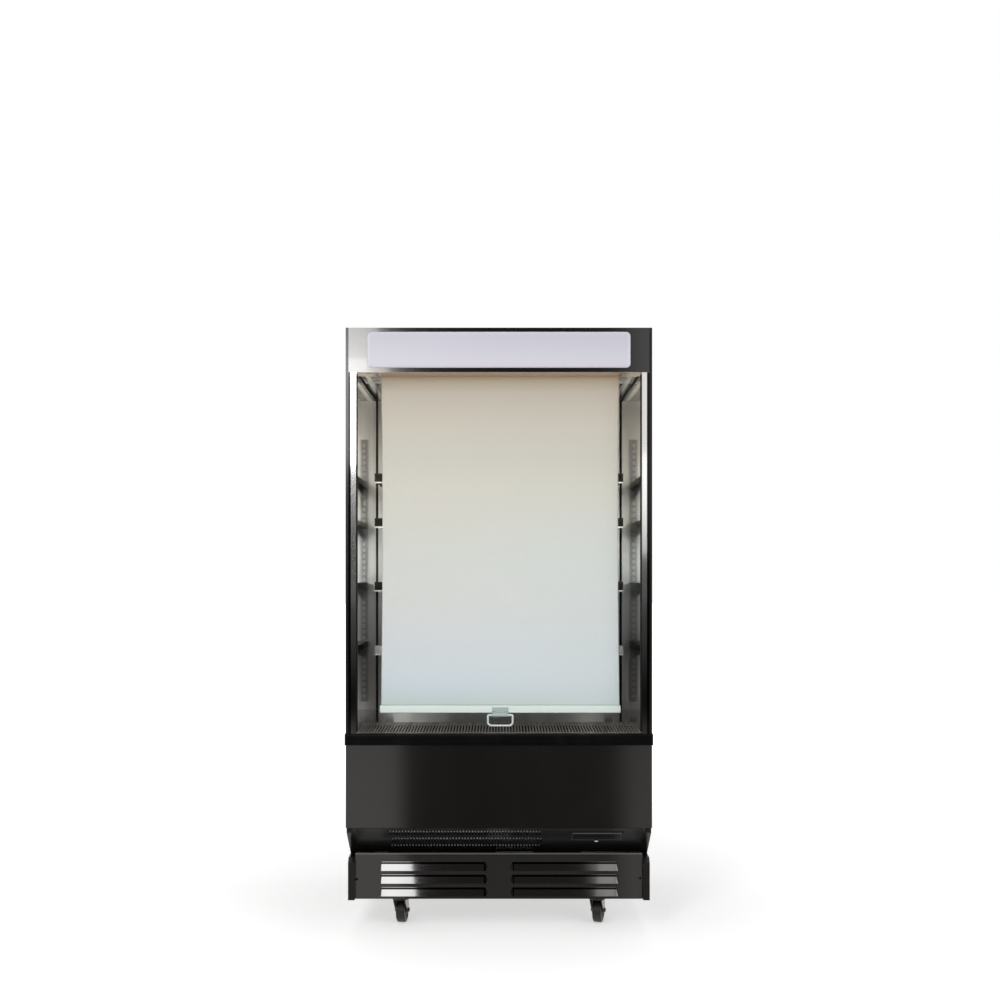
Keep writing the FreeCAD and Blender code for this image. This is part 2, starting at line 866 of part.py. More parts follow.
def make_return_grille(label):
    """Return-air grille: a folded plate that falls to the front, with two rows of slots."""
    sheet_part = cell.deck_sheet
    front, ridge = FRONT + cell.grille_front, FRONT + cell.grille_slope
    back = FRONT + cell.grille_back
    low = DECK_TOP - cell.grille_drop
    base = TUB_TOP
    corners = [
        (front, low),
        (ridge, DECK_TOP),
        (back, DECK_TOP),
        (back, base),
        (back - sheet_part, base),
        (back - sheet_part, DECK_TOP - sheet_part),
        (ridge, DECK_TOP - sheet_part),
        (front + sheet_part, low - sheet_part),
        (front + sheet_part, base),
        (front, base),
    ]
    body = extrude(label, "YZ", -INSIDE_HALF, corners, INSIDE_HALF * 2)
    start = -cell.slot_pitch * (cell.slot_columns - 1) / 2 - cell.slot_width / 2
    rows = [
        (cell.front_slot_start, cell.front_slot_length),
        (cell.rear_slot_start, cell.rear_slot_length),
    ]
    sketch = new_sketch(body, "XY", DECK_TOP)
    for row_start, row_length in rows:
        near = FRONT + row_start
        draw_rectangle(sketch, start, near, start + cell.slot_width, near + row_length)
    slots = sink(body, sketch, cell.deck_sheet + cell.grille_drop)
    row_of(body, [slots], sketch, "H_Axis", cell.slot_pitch, cell.slot_columns)
    return body


def make_duct_panel(label):
    """Rear duct panel with folded sides and rows of air slots."""
    wall = cell.sheet_metal
    half, deep = INSIDE_HALF, BACK_PANEL_FACE - cell.fit_gap
    corners = [
        (-half, DUCT_FACE),
        (half, DUCT_FACE),
        (half, deep),
        (half - wall, deep),
        (half - wall, DUCT_FACE + wall),
        (wall - half, DUCT_FACE + wall),
        (wall - half, deep),
        (-half, deep),
    ]
    low = TUB_TOP + cell.fit_gap
    body = extrude(label, "XY", low, corners, CEILING - low - cell.fit_gap)
    sketch = new_sketch(body, "XZ", -DUCT_FACE)
    bottom = DECK_TOP + cell.duct_slot_pitch
    for column in (-1, 0, 1):
        left = cell.duct_slot_spread * column - cell.duct_slot_width / 2
        right, top = left + cell.duct_slot_width, bottom + cell.duct_slot_height
        draw_rectangle(sketch, left, bottom, right, top)
    slots = sink(body, sketch, wall * 2)
    row_of(body, [slots], sketch, "V_Axis", cell.duct_slot_pitch, cell.duct_slot_rows)
    return body


def make_ceiling(label):
    """Ceiling sheet with turned-up sides."""
    wall, half = cell.sheet_metal, INSIDE_HALF
    high = CEILING + cell.ceiling_flange
    corners = [
        (-half, CEILING),
        (half, CEILING),
        (half, high),
        (half - wall, high),
        (half - wall, CEILING + wall),
        (wall - half, CEILING + wall),
        (wall - half, high),
        (-half, high),
    ]
    front = FRONT + cell.outlet_front + cell.outlet_depth + cell.fit_gap
    back = BACK_PANEL_FACE - cell.fit_gap
    return extrude(label, "XZ", -back, corners, back - front)


def make_air_outlet(label):
    """Air outlet along the front of the ceiling: a frame with a row of straight cells."""
    body = new_body(label)
    front = FRONT + cell.outlet_front
    back = front + cell.outlet_depth
    blank = new_sketch(body, "XY", CEILING)
    draw_rectangle(blank, -INSIDE_HALF, front, INSIDE_HALF, back)
    swell(body, blank, cell.outlet_height)
    sketch = new_sketch(body, "XY", CEILING + cell.outlet_height)
    start = -cell.outlet_cell_pitch * (cell.outlet_cells - 1) / 2 - cell.outlet_cell / 2
    rim = cell.outlet_rim
    draw_rectangle(sketch, start, front + rim, start + cell.outlet_cell, back - rim)
    hole = sink(body, sketch, cell.outlet_height)
    row_of(body, [hole], sketch, "H_Axis", cell.outlet_cell_pitch, cell.outlet_cells)
    return body


# ---------------------------------------------------------------- shelves


def slot_level(number):
    """Height of the middle of one slot of the uprights."""
    return cell.upright_bottom + cell.upright_end + cell.upright_slot_pitch * number


def shelf_level(number):
    """Height of a shelf's top, whose brackets hang in slot number."""
    return slot_level(number) + cell.shelf_sheet + cell.hook_height


def make_upright(side):
    """Slotted channel in one rear corner."""
    body = document.addObject("PartDesign::Body", f"upright_{'right' if side > 0 else 'left'}")
    wall, half = cell.sheet_metal, cell.upright_width / 2
    front, back = UPRIGHT_FACE, DUCT_FACE - cell.fit_gap
    corners = [
        (-half, front),
        (half, front),
        (half, back),
        (half - wall, back),
        (half - wall, front + wall),
        (wall - half, front + wall),
        (wall - half, back),
        (-half, back),
    ]
    length = cell.upright_slot_pitch * (cell.upright_slots - 1) + cell.upright_end * 2
    swell(body, draw_outline(new_sketch(body, "XY", cell.upright_bottom), corners), length)
    sketch = new_sketch(body, "XZ", -front)
    low = slot_level(0) - cell.upright_slot_height / 2
    across = cell.upright_slot_width / 2
    draw_rectangle(sketch, -across, low, across, low + cell.upright_slot_height)
    slot = sink(body, sketch, wall * 2)
    row_of(body, [slot], sketch, "V_Axis", cell.upright_slot_pitch, cell.upright_slots)
    return place(body, UPRIGHT_CENTRE * side)


def bracket_outline(number):
    """Side view of a cantilever bracket with one hook over the lower edge of its slot."""
    top = shelf_level(number) - cell.shelf_sheet
    face = UPRIGHT_FACE - cell.fit_gap
    front = face - cell.bracket_length
    bottom = top - cell.bracket_back_height
    neck = slot_level(number) + cell.upright_slot_height / 2 - cell.fit_gap
    seat = slot_level(number) - cell.upright_slot_height / 2
    inside = UPRIGHT_FACE + cell.sheet_metal + cell.fit_gap
    tip = UPRIGHT_FACE + cell.hook_depth
    return [
        (front, top),
        (face, top),
        (face, neck),
        (tip, neck),
        (tip, seat - cell.hook_drop / 2),
        (inside, seat - cell.hook_drop / 2),
        (inside, seat + cell.fit_gap),
        (face, seat + cell.fit_gap),
        (face, bottom),
        (front + cell.bracket_front_height, top - cell.bracket_front_height),
        (front, top - cell.bracket_front_height / 2),
    ]


def make_bracket(number, slot, side):
    """One cantilever bracket, tapered to the front, with its hook in the upright."""
    name = f"bracket_{number}_{'right' if side > 0 else 'left'}"
    body = document.addObject("PartDesign::Body", name)
    half = cell.bracket_thickness / 2
    sketch = draw_outline(new_sketch(body, "YZ", -half), bracket_outline(slot))
    swell(body, sketch, cell.bracket_thickness)
    return place(body, UPRIGHT_CENTRE * side)


def make_shelf(label, slot):
    """Shelf tray with turned-down front and sides."""
    body = new_body(label)
    wall = cell.shelf_sheet
    front = FRONT + cell.shelf_setback
    back = UPRIGHT_FACE - cell.fit_gap * 2
    high = shelf_level(slot)
    low = high - cell.shelf_flange
    blank = draw_rectangle(new_sketch(body, "XY", low), -SHELF_HALF, front, SHELF_HALF, back)
    swell(body, blank, cell.shelf_flange)
    under = new_sketch(body, "XY", low)
    behind = back + cell.shelf_sheet
    draw_rectangle(under, wall - SHELF_HALF, front + wall, SHELF_HALF - wall, behind)
    sink(body, under, cell.shelf_flange - wall, backwards=True)
    return body


def make_price_rail(label, slot):
    """Price rail clipped to a shelf's front edge, with curled lips over its label channel."""
    high = shelf_level(slot) + cell.rail_lip
    low = high - cell.rail_height
    back = FRONT + cell.shelf_setback - cell.fit_gap
    front = back - cell.rail_depth
    wall = cell.sheet_metal
    lip = cell.rail_lip
    corners = [
        (back, low),
        (back, high),
        (front, high),
        (front, high - lip),
        (front + wall, high - lip),
        (front + wall * 1.5, high - wall),
        (back - wall, high - wall),
        (back - wall, low + wall),
        (front + wall * 1.5, low + wall),
        (front + wall, low + lip),
        (front, low + lip),
        (front, low),
    ]
    return extrude(label, "YZ", -SHELF_HALF, corners, cell.shelf_width)


# ---------------------------------------------------------------- night curtain


def make_roller(label):
    """Curtain roller: a tube with an end plug and a pin at each end."""
    body = new_body(label)
    half = cell.curtain_width / 2 - cell.curtain_waist
    tube = draw_circle(new_sketch(body, "YZ", -half), 0, 0, cell.roller_radius)
    swell(body, tube, half * 2)
    reach = half + cell.roller_pin_length
    pins = draw_circle(new_sketch(body, "YZ", -reach), 0, 0, cell.roller_pin_radius)
    swell(body, pins, reach * 2)
    return place(body, cell.curtain_shift, ROLLER_Y, ROLLER_Z)


def make_roller_bracket(side):
    """Plate with the roller's bearing and a flange under the roof."""
    body = document.addObject("PartDesign::Body", f"roller_bracket_{'right' if side > 0 else 'left'}")
    wall = cell.bracket_plate
    middle = cell.curtain_shift * side
    inner = cell.curtain_width / 2 - cell.curtain_waist + cell.roller_pin_length - wall + middle
    high = ROOF_BOTTOM - cell.fit_gap
    half = [
        (inner, ROLLER_Z - cell.bracket_drop),
        (inner + wall, ROLLER_Z - cell.bracket_drop),
        (inner + wall, high - wall),
        (INSIDE_HALF, high - wall),
        (INSIDE_HALF, high),
        (inner, high),
    ]
    corners = [(x if side > 0 else -x, z) for x, z in half]
    depth = cell.roller_radius * 2
    back = ROLLER_Y + cell.roller_radius
    swell(body, draw_outline(new_sketch(body, "XZ", -back), corners), depth)
    reach = inner + wall if side > 0 else -inner
    bearing = draw_circle(new_sketch(body, "YZ", reach), ROLLER_Y, ROLLER_Z,
                          cell.roller_pin_radius + cell.pin_clearance)
    sink(body, bearing, wall)
    return body


def make_curtain(label):
    """Curtain fabric, hanging from the roller to the bottom rail, a little waisted."""
    half = cell.curtain_width / 2
    low = cell.bottom_rail_level + cell.bottom_rail_height + cell.curtain_gap
    high = ROLLER_Z
    middle = (low + high) / 2
    waist = half - cell.curtain_waist
    corners = [(-half, low), (half, low), (waist, middle), (half, high), (-half, high), (-waist, middle)]
    back = CURTAIN_FACE + cell.curtain_thickness
    cloth = extrude(label, "XZ", -back, corners, cell.curtain_thickness)
    return place(cloth, cell.curtain_shift)


def make_bottom_rail(label):
    """Weighted bottom rail of the curtain, rounded along its edges."""
    body = new_body(label)
    deep = cell.bottom_rail_depth / 2
    middle = CURTAIN_FACE + cell.curtain_thickness / 2
    high = cell.bottom_rail_level + cell.bottom_rail_height
    sketch = new_sketch(body, "YZ", -cell.bottom_rail_width / 2)
    draw_rounded(sketch, middle - deep, cell.bottom_rail_level, middle + deep, high,
                 cell.bottom_rail_round)
    swell(body, sketch, cell.bottom_rail_width)
    return place(body, cell.curtain_shift)


def make_handle_plate(label):
    """Plate on the bottom rail, with a bored barrel along its lower edge for the bail."""
    body = new_body(label)
    half = cell.handle_width / 2
    back = cell.barrel_ahead - cell.fit_gap
    front = back - cell.handle_sheet
    low = -cell.barrel_radius
    high = cell.barrel_below + cell.handle_height - cell.barrel_radius
    sketch = new_sketch(body, "YZ", -half)
    draw_rectangle(sketch, front, low, back, high)
    swell(body, sketch, cell.handle_width)
    barrel = draw_circle(new_sketch(body, "YZ", -half), 0, 0, cell.barrel_radius)
    swell(body, barrel, cell.handle_width)
    bore = new_sketch(body, "YZ", half)
    draw_circle(bore, 0, 0, cell.bail_wire + cell.pin_clearance)
    sink(body, bore, cell.handle_width)
    return place(body, cell.curtain_shift, BAIL_Y, BAIL_Z)


def make_bail(label):
    """Wire bail: two stubs in the barrel, two legs, and a foot with cut corners."""
    wire = float(cell.bail_wire)
    half = float(cell.bail_width) / 2 - wire
    foot = wire - float(cell.bail_drop)
    corner = float(cell.bail_corner)
    stub = float(cell.handle_width) / 2 - float(cell.bail_stub)
    route = [
        (stub, 0),
        (half, 0),
        (half, foot + corner),
        (half - corner, foot),
        (corner - half, foot),
        (-half, foot + corner),
        (-half, 0),
        (-stub, 0),
    ]
    points = [FreeCAD.Vector(x, 0, z) for x, z in route]
    sweep = Part.BRepOffsetAPI.MakePipeShell(Part.makePolygon(points))
    sweep.setTransitionMode(MITRED)
    sweep.add(Part.Wire(Part.makeCircle(wire, points[0], FreeCAD.Vector(1, 0, 0))))
    sweep.build()
    sweep.makeSolid()
    bail = keep(document.addObject("Part::Feature", label), label)
    bail.Shape = sweep.shape()
    return place(bail, cell.curtain_shift, BAIL_Y, BAIL_Z)


# ---------------------------------------------------------------- slanted vent panel and control


def make_vent_panel(label):
    """Slanted panel with three staggered rows of slots, the control window and hinge ears."""
    body = new_body(label)
    wall = cell.sheet_metal
    low = -SLANT_LENGTH + cell.foot_chamfer / 2
    under_cover = (wall * cell.slant_setback + cell.fit_gap * SLANT_LENGTH) / cell.slant_height
    blank = draw_rectangle(new_sketch(body, "XZ", -wall), -FIT_HALF, low, FIT_HALF, -under_cover)
    swell(body, blank, wall)
    lap = cell.flap_lap
    right = cell.flap_left + cell.flap_width
    bottom = -cell.flap_top - cell.flap_height
    window = new_sketch(body, "XZ", 0)
    draw_rectangle(window, cell.flap_left + lap, bottom + lap, right - lap, -cell.flap_top - lap)
    sink(body, window, wall)
    across = cell.flap_barrel + cell.fit_gap
    for low_x in (cell.flap_left - cell.flap_ear - cell.fit_gap, right + cell.fit_gap):
        ear = new_sketch(body, "YZ", low_x)
        draw_rectangle(ear, -across * 2, -cell.flap_top, 0, across * 2 - cell.flap_top)
        swell(body, ear, cell.flap_ear)
    bore = new_sketch(body, "YZ", right + cell.fit_gap + cell.flap_ear)
    draw_circle(bore, -across, across - cell.flap_top, cell.flap_pin + cell.pin_clearance)
    sink(body, bore, cell.flap_width + (cell.fit_gap + cell.flap_ear) * 2)
    sketch = new_sketch(body, "XZ", 0)
    for index in range(3):
        left = cell.vent_slot_pitch / 2 * (index % 2) - cell.vent_left
        top = -cell.vent_row_top - cell.vent_row_pitch * index
        draw_rectangle(sketch, left, top - cell.vent_slot_length, left + cell.vent_slot_width, top)
    slots = sink(body, sketch, wall)
    row_of(body, [slots], sketch, "H_Axis", cell.vent_slot_pitch, cell.vent_slot_columns)
    return on_slant(body)


def make_flap(label):
    """Control flap: a plate under a hinge barrel with two pins, and a small knob."""
    body = new_body(label)
    across = cell.flap_barrel + cell.fit_gap
    outer = -cell.flap_thickness - cell.fit_gap
    bottom = -cell.flap_top - cell.flap_height
    axis_s = across - cell.flap_top
    plate = new_sketch(body, "YZ", cell.flap_left)
    corners = [(outer, bottom), (-cell.fit_gap, bottom), (-cell.fit_gap, -cell.flap_top),
               (-across, axis_s), (outer, axis_s)]
    draw_outline(plate, corners)
    swell(body, plate, cell.flap_width)
    barrel = draw_circle(new_sketch(body, "YZ", cell.flap_left), -across, axis_s, cell.flap_barrel)
    swell(body, barrel, cell.flap_width)
    reach = cell.flap_pin_length + cell.fit_gap
    pins = new_sketch(body, "YZ", cell.flap_left - reach)
    draw_circle(pins, -across, axis_s, cell.flap_pin)
    swell(body, pins, cell.flap_width + reach * 2)
    knob = new_sketch(body, "XZ", 0 - outer)
    draw_circle(knob, cell.flap_left + cell.flap_width / 2,
                bottom + cell.flap_knob_radius + cell.fit_gap, cell.flap_knob_radius)
    swell(body, knob, cell.flap_knob_length)
    return on_slant(body)


def control_window():
    """Left, bottom, right and top of the window in the slanted panel."""
    lap = cell.flap_lap
    right = cell.flap_left + cell.flap_width - lap
    return (cell.flap_left + lap, lap - cell.flap_top - cell.flap_height, right,
            -cell.flap_top - lap)


def key_corner(index):
    """Low corner of one key's face."""
    left, bottom, right, top = control_window()
    middle = (bottom + top) / 2
    return left + cell.key_left + cell.key_pitch * index, middle - cell.key_height / 2


def rocker_corner():
    """Low corner of the rocker switch."""
    left, bottom, right, top = control_window()
    return left + cell.rocker_left, (bottom + top) / 2 - cell.rocker_height / 2


def make_thermostat(label):
    """Controller behind the window: flange, housing, display recess and wells for its keys."""
    body = new_body(label)
    left, bottom, right, top = control_window()
    lap = cell.flap_lap
    face = cell.sheet_metal + cell.fit_gap
    flange = new_sketch(body, "XZ", -face - cell.control_flange)
    draw_rectangle(flange, left - lap, bottom - lap, right + lap, top + lap)
    swell(body, flange, cell.control_flange)
    housing = new_sketch(body, "XZ", -face - cell.control_depth)
    draw_rectangle(housing, left, bottom, right, top)
    swell(body, housing, cell.control_depth - cell.control_flange)
    middle = (bottom + top) / 2
    display = new_sketch(body, "XZ", -face)
    draw_rectangle(display, left + lap, middle - cell.display_height / 2,
                   left + lap + cell.display_width, middle + cell.display_height / 2)
    sink(body, display, cell.display_recess)
    gap = cell.key_gap
    for index in range(3):
        x, z = key_corner(index)
        well = new_sketch(body, "XZ", -face)
        draw_rectangle(well, x - gap, z - gap, x + cell.key_width + gap, z + cell.key_height + gap)
        sink(body, well, cell.key_pocket)
    x, z = rocker_corner()
    gap = cell.rocker_gap
    well = new_sketch(body, "XZ", -face)
    draw_rectangle(well, x - gap, z - gap * 2, x + cell.rocker_width + gap,
                   z + cell.rocker_height + gap * 2)
    sink(body, well, cell.rocker_pocket)
    reach = gap + cell.rocker_pin_length + cell.fit_gap
    bore = new_sketch(body, "YZ", x + cell.rocker_width + reach)
    draw_circle(bore, face + cell.rocker_pivot, z + cell.rocker_height / 2,
                cell.rocker_pin_radius + cell.pin_clearance)
    sink(body, bore, cell.rocker_width + reach * 2)
    return on_slant(body)


def make_key(label, index):
    """One key with a rounded face."""
    body = new_body(label)
    x, z = key_corner(index)
    face = cell.sheet_metal + cell.fit_gap
    back = face - cell.key_proud + cell.key_length
    sketch = new_sketch(body, "XZ", -back)
    draw_rounded(sketch, x, z, x + cell.key_width, z + cell.key_height, cell.key_height / 5)
    swell(body, sketch, cell.key_length)
    return on_slant(body)


def make_rocker(label):
    """Rocker switch for the sign light, resting on one side, with a pin at each end."""
    x, z = rocker_corner()
    half, deep = cell.rocker_height / 2, cell.rocker_depth / 2
    lift = cell.rocker_height / 14
    corners = [(deep, half - lift), (deep, lift - half), (-deep, -half), (lift - deep, 0), (-deep, half)]
    body = new_body(label)
    sketch = draw_outline(new_sketch(body, "YZ", 0), corners)
    swell(body, sketch, cell.rocker_width)
    reach = cell.rocker_gap + cell.rocker_pin_length
    pins = draw_circle(new_sketch(body, "YZ", -reach), 0, 0, cell.rocker_pin_radius)
    swell(body, pins, cell.rocker_width + reach * 2)
    pivot_y = cell.sheet_metal + cell.fit_gap + cell.rocker_pivot
    pivot_z = z + half
    return place_on_slant(body, x, pivot_y, pivot_z, SLANT_ANGLE - cell.rocker_tilt)


def place_on_slant(item, x, y, z, angle):
    """Put item at x, y, z of the slanted panel's frame, turned to angle about X."""
    sine, cosine = cell.slant_setback / SLANT_LENGTH, cell.slant_height / SLANT_LENGTH
    across = FRONT + y * cosine - z * sine
    up = SLANT_TOP + y * sine + z * cosine
    return place(item, x, across, up, axis=(1, 0, 0), angle=angle)


# ---------------------------------------------------------------- kick plate


def louvre_outline(sketch, reach, height, depth):
    """Half section of a louvre: its slanted face, its shoulder, and depth behind them."""
    base = cell.louvre_bottom
    shoulder = (-reach * cell.louvre_shoulder, base + height * cell.louvre_face)
    corners = [(-reach, base), shoulder, (0, base + height)]
    corners += [(0, base)] if depth == 0 else [(depth, base + height), (depth, base)]
    return draw_outline(sketch, corners)


def make_kick_plate(label):
    """Kick plate: six louvres pressed out of one sheet, each hooded, closed at both ends and
    open along its lower edge."""
    body = new_body(label)
    wall = cell.sheet_metal
    high = cell.kick_height
    blank = draw_rectangle(new_sketch(body, "XZ", -wall), -FIT_HALF, 0, FIT_HALF, high)
    swell(body, blank, wall)
    flange = draw_rectangle(new_sketch(body, "XZ", -cell.kick_flange), -FIT_HALF, high - wall,
                            FIT_HALF, high)
    swell(body, flange, cell.kick_flange)
    reach, height = cell.louvre_projection, cell.louvre_height
    inner_reach, inner_height = reach - wall, height - wall * 1.5
    near = cell.louvre_inner + reach
    far = cell.louvre_inner + cell.louvre_length - reach
    pressed = []
    hood = louvre_outline(new_sketch(body, "YZ", near), reach, height, 0)
    pressed.append(swell(body, hood, far - near))
    for offset, backwards in ((far, False), (near, True)):
        section = louvre_outline(new_sketch(body, "YZ", offset), reach, height, 0)
        pressed.append(turn(body, "Revolution", section, 90, backwards))
    mouth = louvre_outline(new_sketch(body, "YZ", far), inner_reach, inner_height, wall)
    pressed.append(sink(body, mouth, far - near))
    for offset, backwards in ((far, False), (near, True)):
        section = louvre_outline(new_sketch(body, "YZ", offset), inner_reach, inner_height, 0)
        pressed.append(turn(body, "Groove", section, 90, backwards))
    return finish_louvres(body, pressed)


def finish_louvres(body, pressed):
    """Repeat one pressed louvre up the plate and mirror the column to the other side."""
    both = body.newObject("PartDesign::MultiTransform", "louvre_grid")
    both.Originals = pressed
    rows = document.addObject("PartDesign::LinearPattern", "louvre_rows")
    rows.Direction = (pressed[0].Profile[0], ["V_Axis"])
    bind(rows, "Length", cell.louvre_pitch * (cell.louvre_rows - 1))
    bind(rows, "Occurrences", cell.louvre_rows)
    sides = document.addObject("PartDesign::Mirrored", "louvre_sides")
    plane = next(item for item in body.Origin.OriginFeatures if item.Role == "YZ_Plane")
    sides.MirrorPlane = (plane, [""])
    body.addObject(rows)
    body.addObject(sides)
    both.Transformations = [rows, sides]
    body.Tip = both
    return place(body, 0, KICK_FACE, BASE)


# ---------------------------------------------------------------- casters


def make_caster_plate(name, x, y):
    """Top plate of a caster, with the fixed raceway of its swivel and the kingpin's hole."""
    body = document.addObject("PartDesign::Body", f"caster_plate_{name}")
    low = BASE - cell.caster_plate_thickness
    along, across = cell.caster_plate_length / 2, cell.caster_plate_width / 2
    plate = draw_rectangle(new_sketch(body, "XY", low), -across, -along, across, along)
    swell(body, plate, cell.caster_plate_thickness)
    swell(body, draw_circle(new_sketch(body, "XY", low), 0, 0, cell.raceway_radius),
          cell.raceway_height, backwards=True)
    bore = draw_circle(new_sketch(body, "XY", BASE), 0, 0, cell.kingpin_radius + cell.running_gap)
    sink(body, bore, cell.caster_plate_thickness + cell.raceway_height)
    return place(body, x, y)


def fork_leg_outline():
    """Side view of a fork leg: broad under the crown, narrow round the axle."""
    high = BASE - cell.caster_plate_thickness - cell.raceway_height - cell.swivel_gap
    under = high - cell.crown_height
    trail, axle = cell.caster_trail, cell.wheel_radius
    lap = cell.axle_radius * 2
    return [
        (-cell.crown_radius * 0.8, under + cell.crown_height / 2),
        (-cell.crown_radius * 0.8, under - cell.crown_height / 2),
        (trail - lap, axle - lap / 3),
        (trail - lap / 2, axle - lap),
        (trail + lap / 2, axle - lap),
        (trail + lap, axle - lap / 3),
        (cell.crown_radius, under - cell.crown_height / 2),
        (cell.crown_radius * 0.8, under + cell.crown_height / 2),
    ]


def make_fork(label, x, y, angle):
    """Caster fork: crown, kingpin, two legs and the axle."""
    body = new_body(label)
    high = BASE - cell.caster_plate_thickness - cell.raceway_height - cell.swivel_gap
    crown = draw_circle(new_sketch(body, "XY", high), 0, 0, cell.crown_radius)
    swell(body, crown, cell.crown_height, backwards=True)
    kingpin = draw_circle(new_sketch(body, "XY", high), 0, 0, cell.kingpin_radius)
    swell(body, kingpin, cell.raceway_height + cell.swivel_gap + cell.caster_plate_thickness / 2)
    inner = cell.wheel_width / 2 + cell.fork_side_gap
    for low in (inner, -inner - cell.fork_leg):
        leg = draw_outline(new_sketch(body, "YZ", low), fork_leg_outline())
        swell(body, leg, cell.fork_leg)
    reach = inner + cell.fork_leg + cell.axle_head
    axle = new_sketch(body, "YZ", -reach)
    draw_circle(axle, cell.caster_trail, cell.wheel_radius, cell.axle_radius)
    swell(body, axle, reach * 2)
    return place(body, x, y, 0, axis=(0, 0, 1), angle=angle)


def make_wheel(label, x, y, angle):
    """Caster wheel, turned about its own axle, with a bevelled tread."""
    body = new_body(label)
    half, radius = cell.wheel_width / 2, cell.wheel_radius
    bevel = cell.wheel_bevel
    bore = cell.axle_radius + cell.running_gap
    profile = [(bore, -half), (radius - bevel, -half), (radius, bevel - half)]
    corners = profile + [(across, -along) for across, along in reversed(profile)]
    sketch = draw_outline(new_sketch(body, "XZ", 0), corners)
    turn(body, "Revolution", sketch)
    inner = document.addObject("Part::Compound", f"{label}_turned")
    inner.Links = [body]
    place(body, 0, cell.caster_trail, radius, axis=(0, 1, 0), angle=90)
    keep(inner, label)
    return place(inner, x, y, 0, axis=(0, 0, 1), angle=angle)


# ---------------------------------------------------------------- machine compartment


def make_fin_pack(label, x, y, z, width, depth, height):
    """Finned coil: a grooved fin block and the return bends that stand out of one end."""
    fins = block(f"{label} fins", x, y, z, width, depth, height)
    grooves = []
    start = x + width / 2 - cell.fin_groove_pitch * (cell.fin_grooves - 1) / 2
    for index in range(int(float(cell.fin_grooves))):
        left = start + cell.fin_groove_pitch * index
        grooves.append(block(f"{label} groove {index}", left, y, z, cell.fin_groove,
                             cell.fin_groove_depth, height))
    return cut(f"{label} core", fins, *grooves)


def make_condenser(label):
    """Condenser coil behind the kick plate."""
    x, y, z = -cell.condenser_left, FRONT + cell.condenser_setback, TRAY_TOP
    core = make_fin_pack(label, x, y, z, cell.condenser_width, cell.condenser_depth,
                         cell.condenser_height)
    tubes = []
    for index in range(int(float(cell.tube_bends))):
        level = z + cell.tube_pitch * (index + 0.5) + cell.tube_pitch / 2
        tubes.append(rod(f"{label} tube {index}", x - cell.tube_radius * 3,
                         y + cell.condenser_depth / 2, level, cell.tube_radius,
                         cell.condenser_width + cell.tube_radius * 6, (0, 1, 0), 90))
    return keep(fuse(label, core, *tubes), label)


def make_shroud(label):
    """Fan shroud behind the condenser: a plate, a ring, struts and the fan's motor."""
    body = new_body(label)
    back = SHROUD_Y + cell.sheet_metal
    left, low = -cell.condenser_left, TRAY_TOP
    plate = new_sketch(body, "XZ", -back)
    draw_rectangle(plate, left, low, left + cell.condenser_width, low + cell.condenser_height)
    swell(body, plate, cell.sheet_metal)
    wall, radius = cell.shroud_ring_wall, cell.shroud_ring_radius
    rear = SHROUD_Y + cell.shroud_ring_depth
    ring = draw_circle(new_sketch(body, "XZ", -rear), FAN_X, FAN_Z, radius + wall)
    swell(body, ring, cell.shroud_ring_depth)
    throat = draw_circle(new_sketch(body, "XZ", -SHROUD_Y), FAN_X, FAN_Z, radius)
    sink(body, throat, cell.shroud_ring_depth)
    add_motor(body, rear, FAN_X, FAN_Z, radius + wall, cell.motor_length)
    return body


def add_motor(body, y, x, z, radius, length):
    """A fan motor behind a ring, on two crossed struts."""
    thick, half = cell.strut_thickness, cell.strut_width / 2
    flat = new_sketch(body, "XZ", -y - thick)
    draw_rectangle(flat, x - radius, z - half, x + radius, z + half)
    swell(body, flat, thick)
    tall = new_sketch(body, "XZ", -y - thick)
    draw_rectangle(tall, x - half, z - radius, x + half, z + radius)
    swell(body, tall, thick)
    motor = draw_circle(new_sketch(body, "XZ", -y - length), x, z, cell.motor_radius)
    swell(body, motor, length)


def make_fan(label, place_at, hub, hub_length, tip, chord, rise):
    """Axial fan about Y: a hub with flat pitched blades."""
    body = new_body(label)
    boss = draw_circle(new_sketch(body, "XY", -hub_length / 2), 0, 0, hub)
    swell(body, boss, hub_length)
    thick = cell.blade_thickness
    sketch = new_sketch(body, "YZ", hub * 0.9)
    corners = [(-chord / 2, -rise / 2), (thick - chord / 2, -rise / 2), (chord / 2, rise / 2),
               (chord / 2 - thick, rise / 2)]
    blade = swell(body, draw_outline(sketch, corners), tip - hub * 0.9)
    ring = body.newObject("PartDesign::PolarPattern", f"{label}_blades")
    ring.Originals = [blade]
    ring.Axis = (boss, ["N_Axis"])
    ring.Angle = 360
    bind(ring, "Occurrences", cell.fan_blades)
    body.Tip = ring
    return place(body, *place_at, axis=(1, 0, 0), angle=-90)


def make_compressor(label):
    """Hermetic compressor on its base plate, with a terminal box."""
    body = new_body(label)
    foot, radius, high = cell.compressor_foot, cell.compressor_radius, cell.compressor_height
    wide, deep = cell.compressor_base_width / 2, cell.compressor_base_depth / 2
    base = draw_rectangle(new_sketch(body, "XY", 0), -wide, -deep, wide, deep)
    swell(body, base, foot)
    dome = radius * 0.35
    corners = [
        (0, foot / 2),
        (radius, foot / 2),
        (radius, high - dome),
        (radius * 0.75, high),
        (0, high),
    ]
    turn(body, "Revolution", draw_outline(new_sketch(body, "XZ", 0), corners))
    box = cell.terminal_box
    side = new_sketch(body, "XY", high / 2 - box / 2)
    draw_rectangle(side, radius * 0.8, -box / 2, radius + box / 3, box / 2)
    swell(body, side, box)
    return place(body, cell.compressor_right, FRONT + cell.compressor_setback, TRAY_TOP)


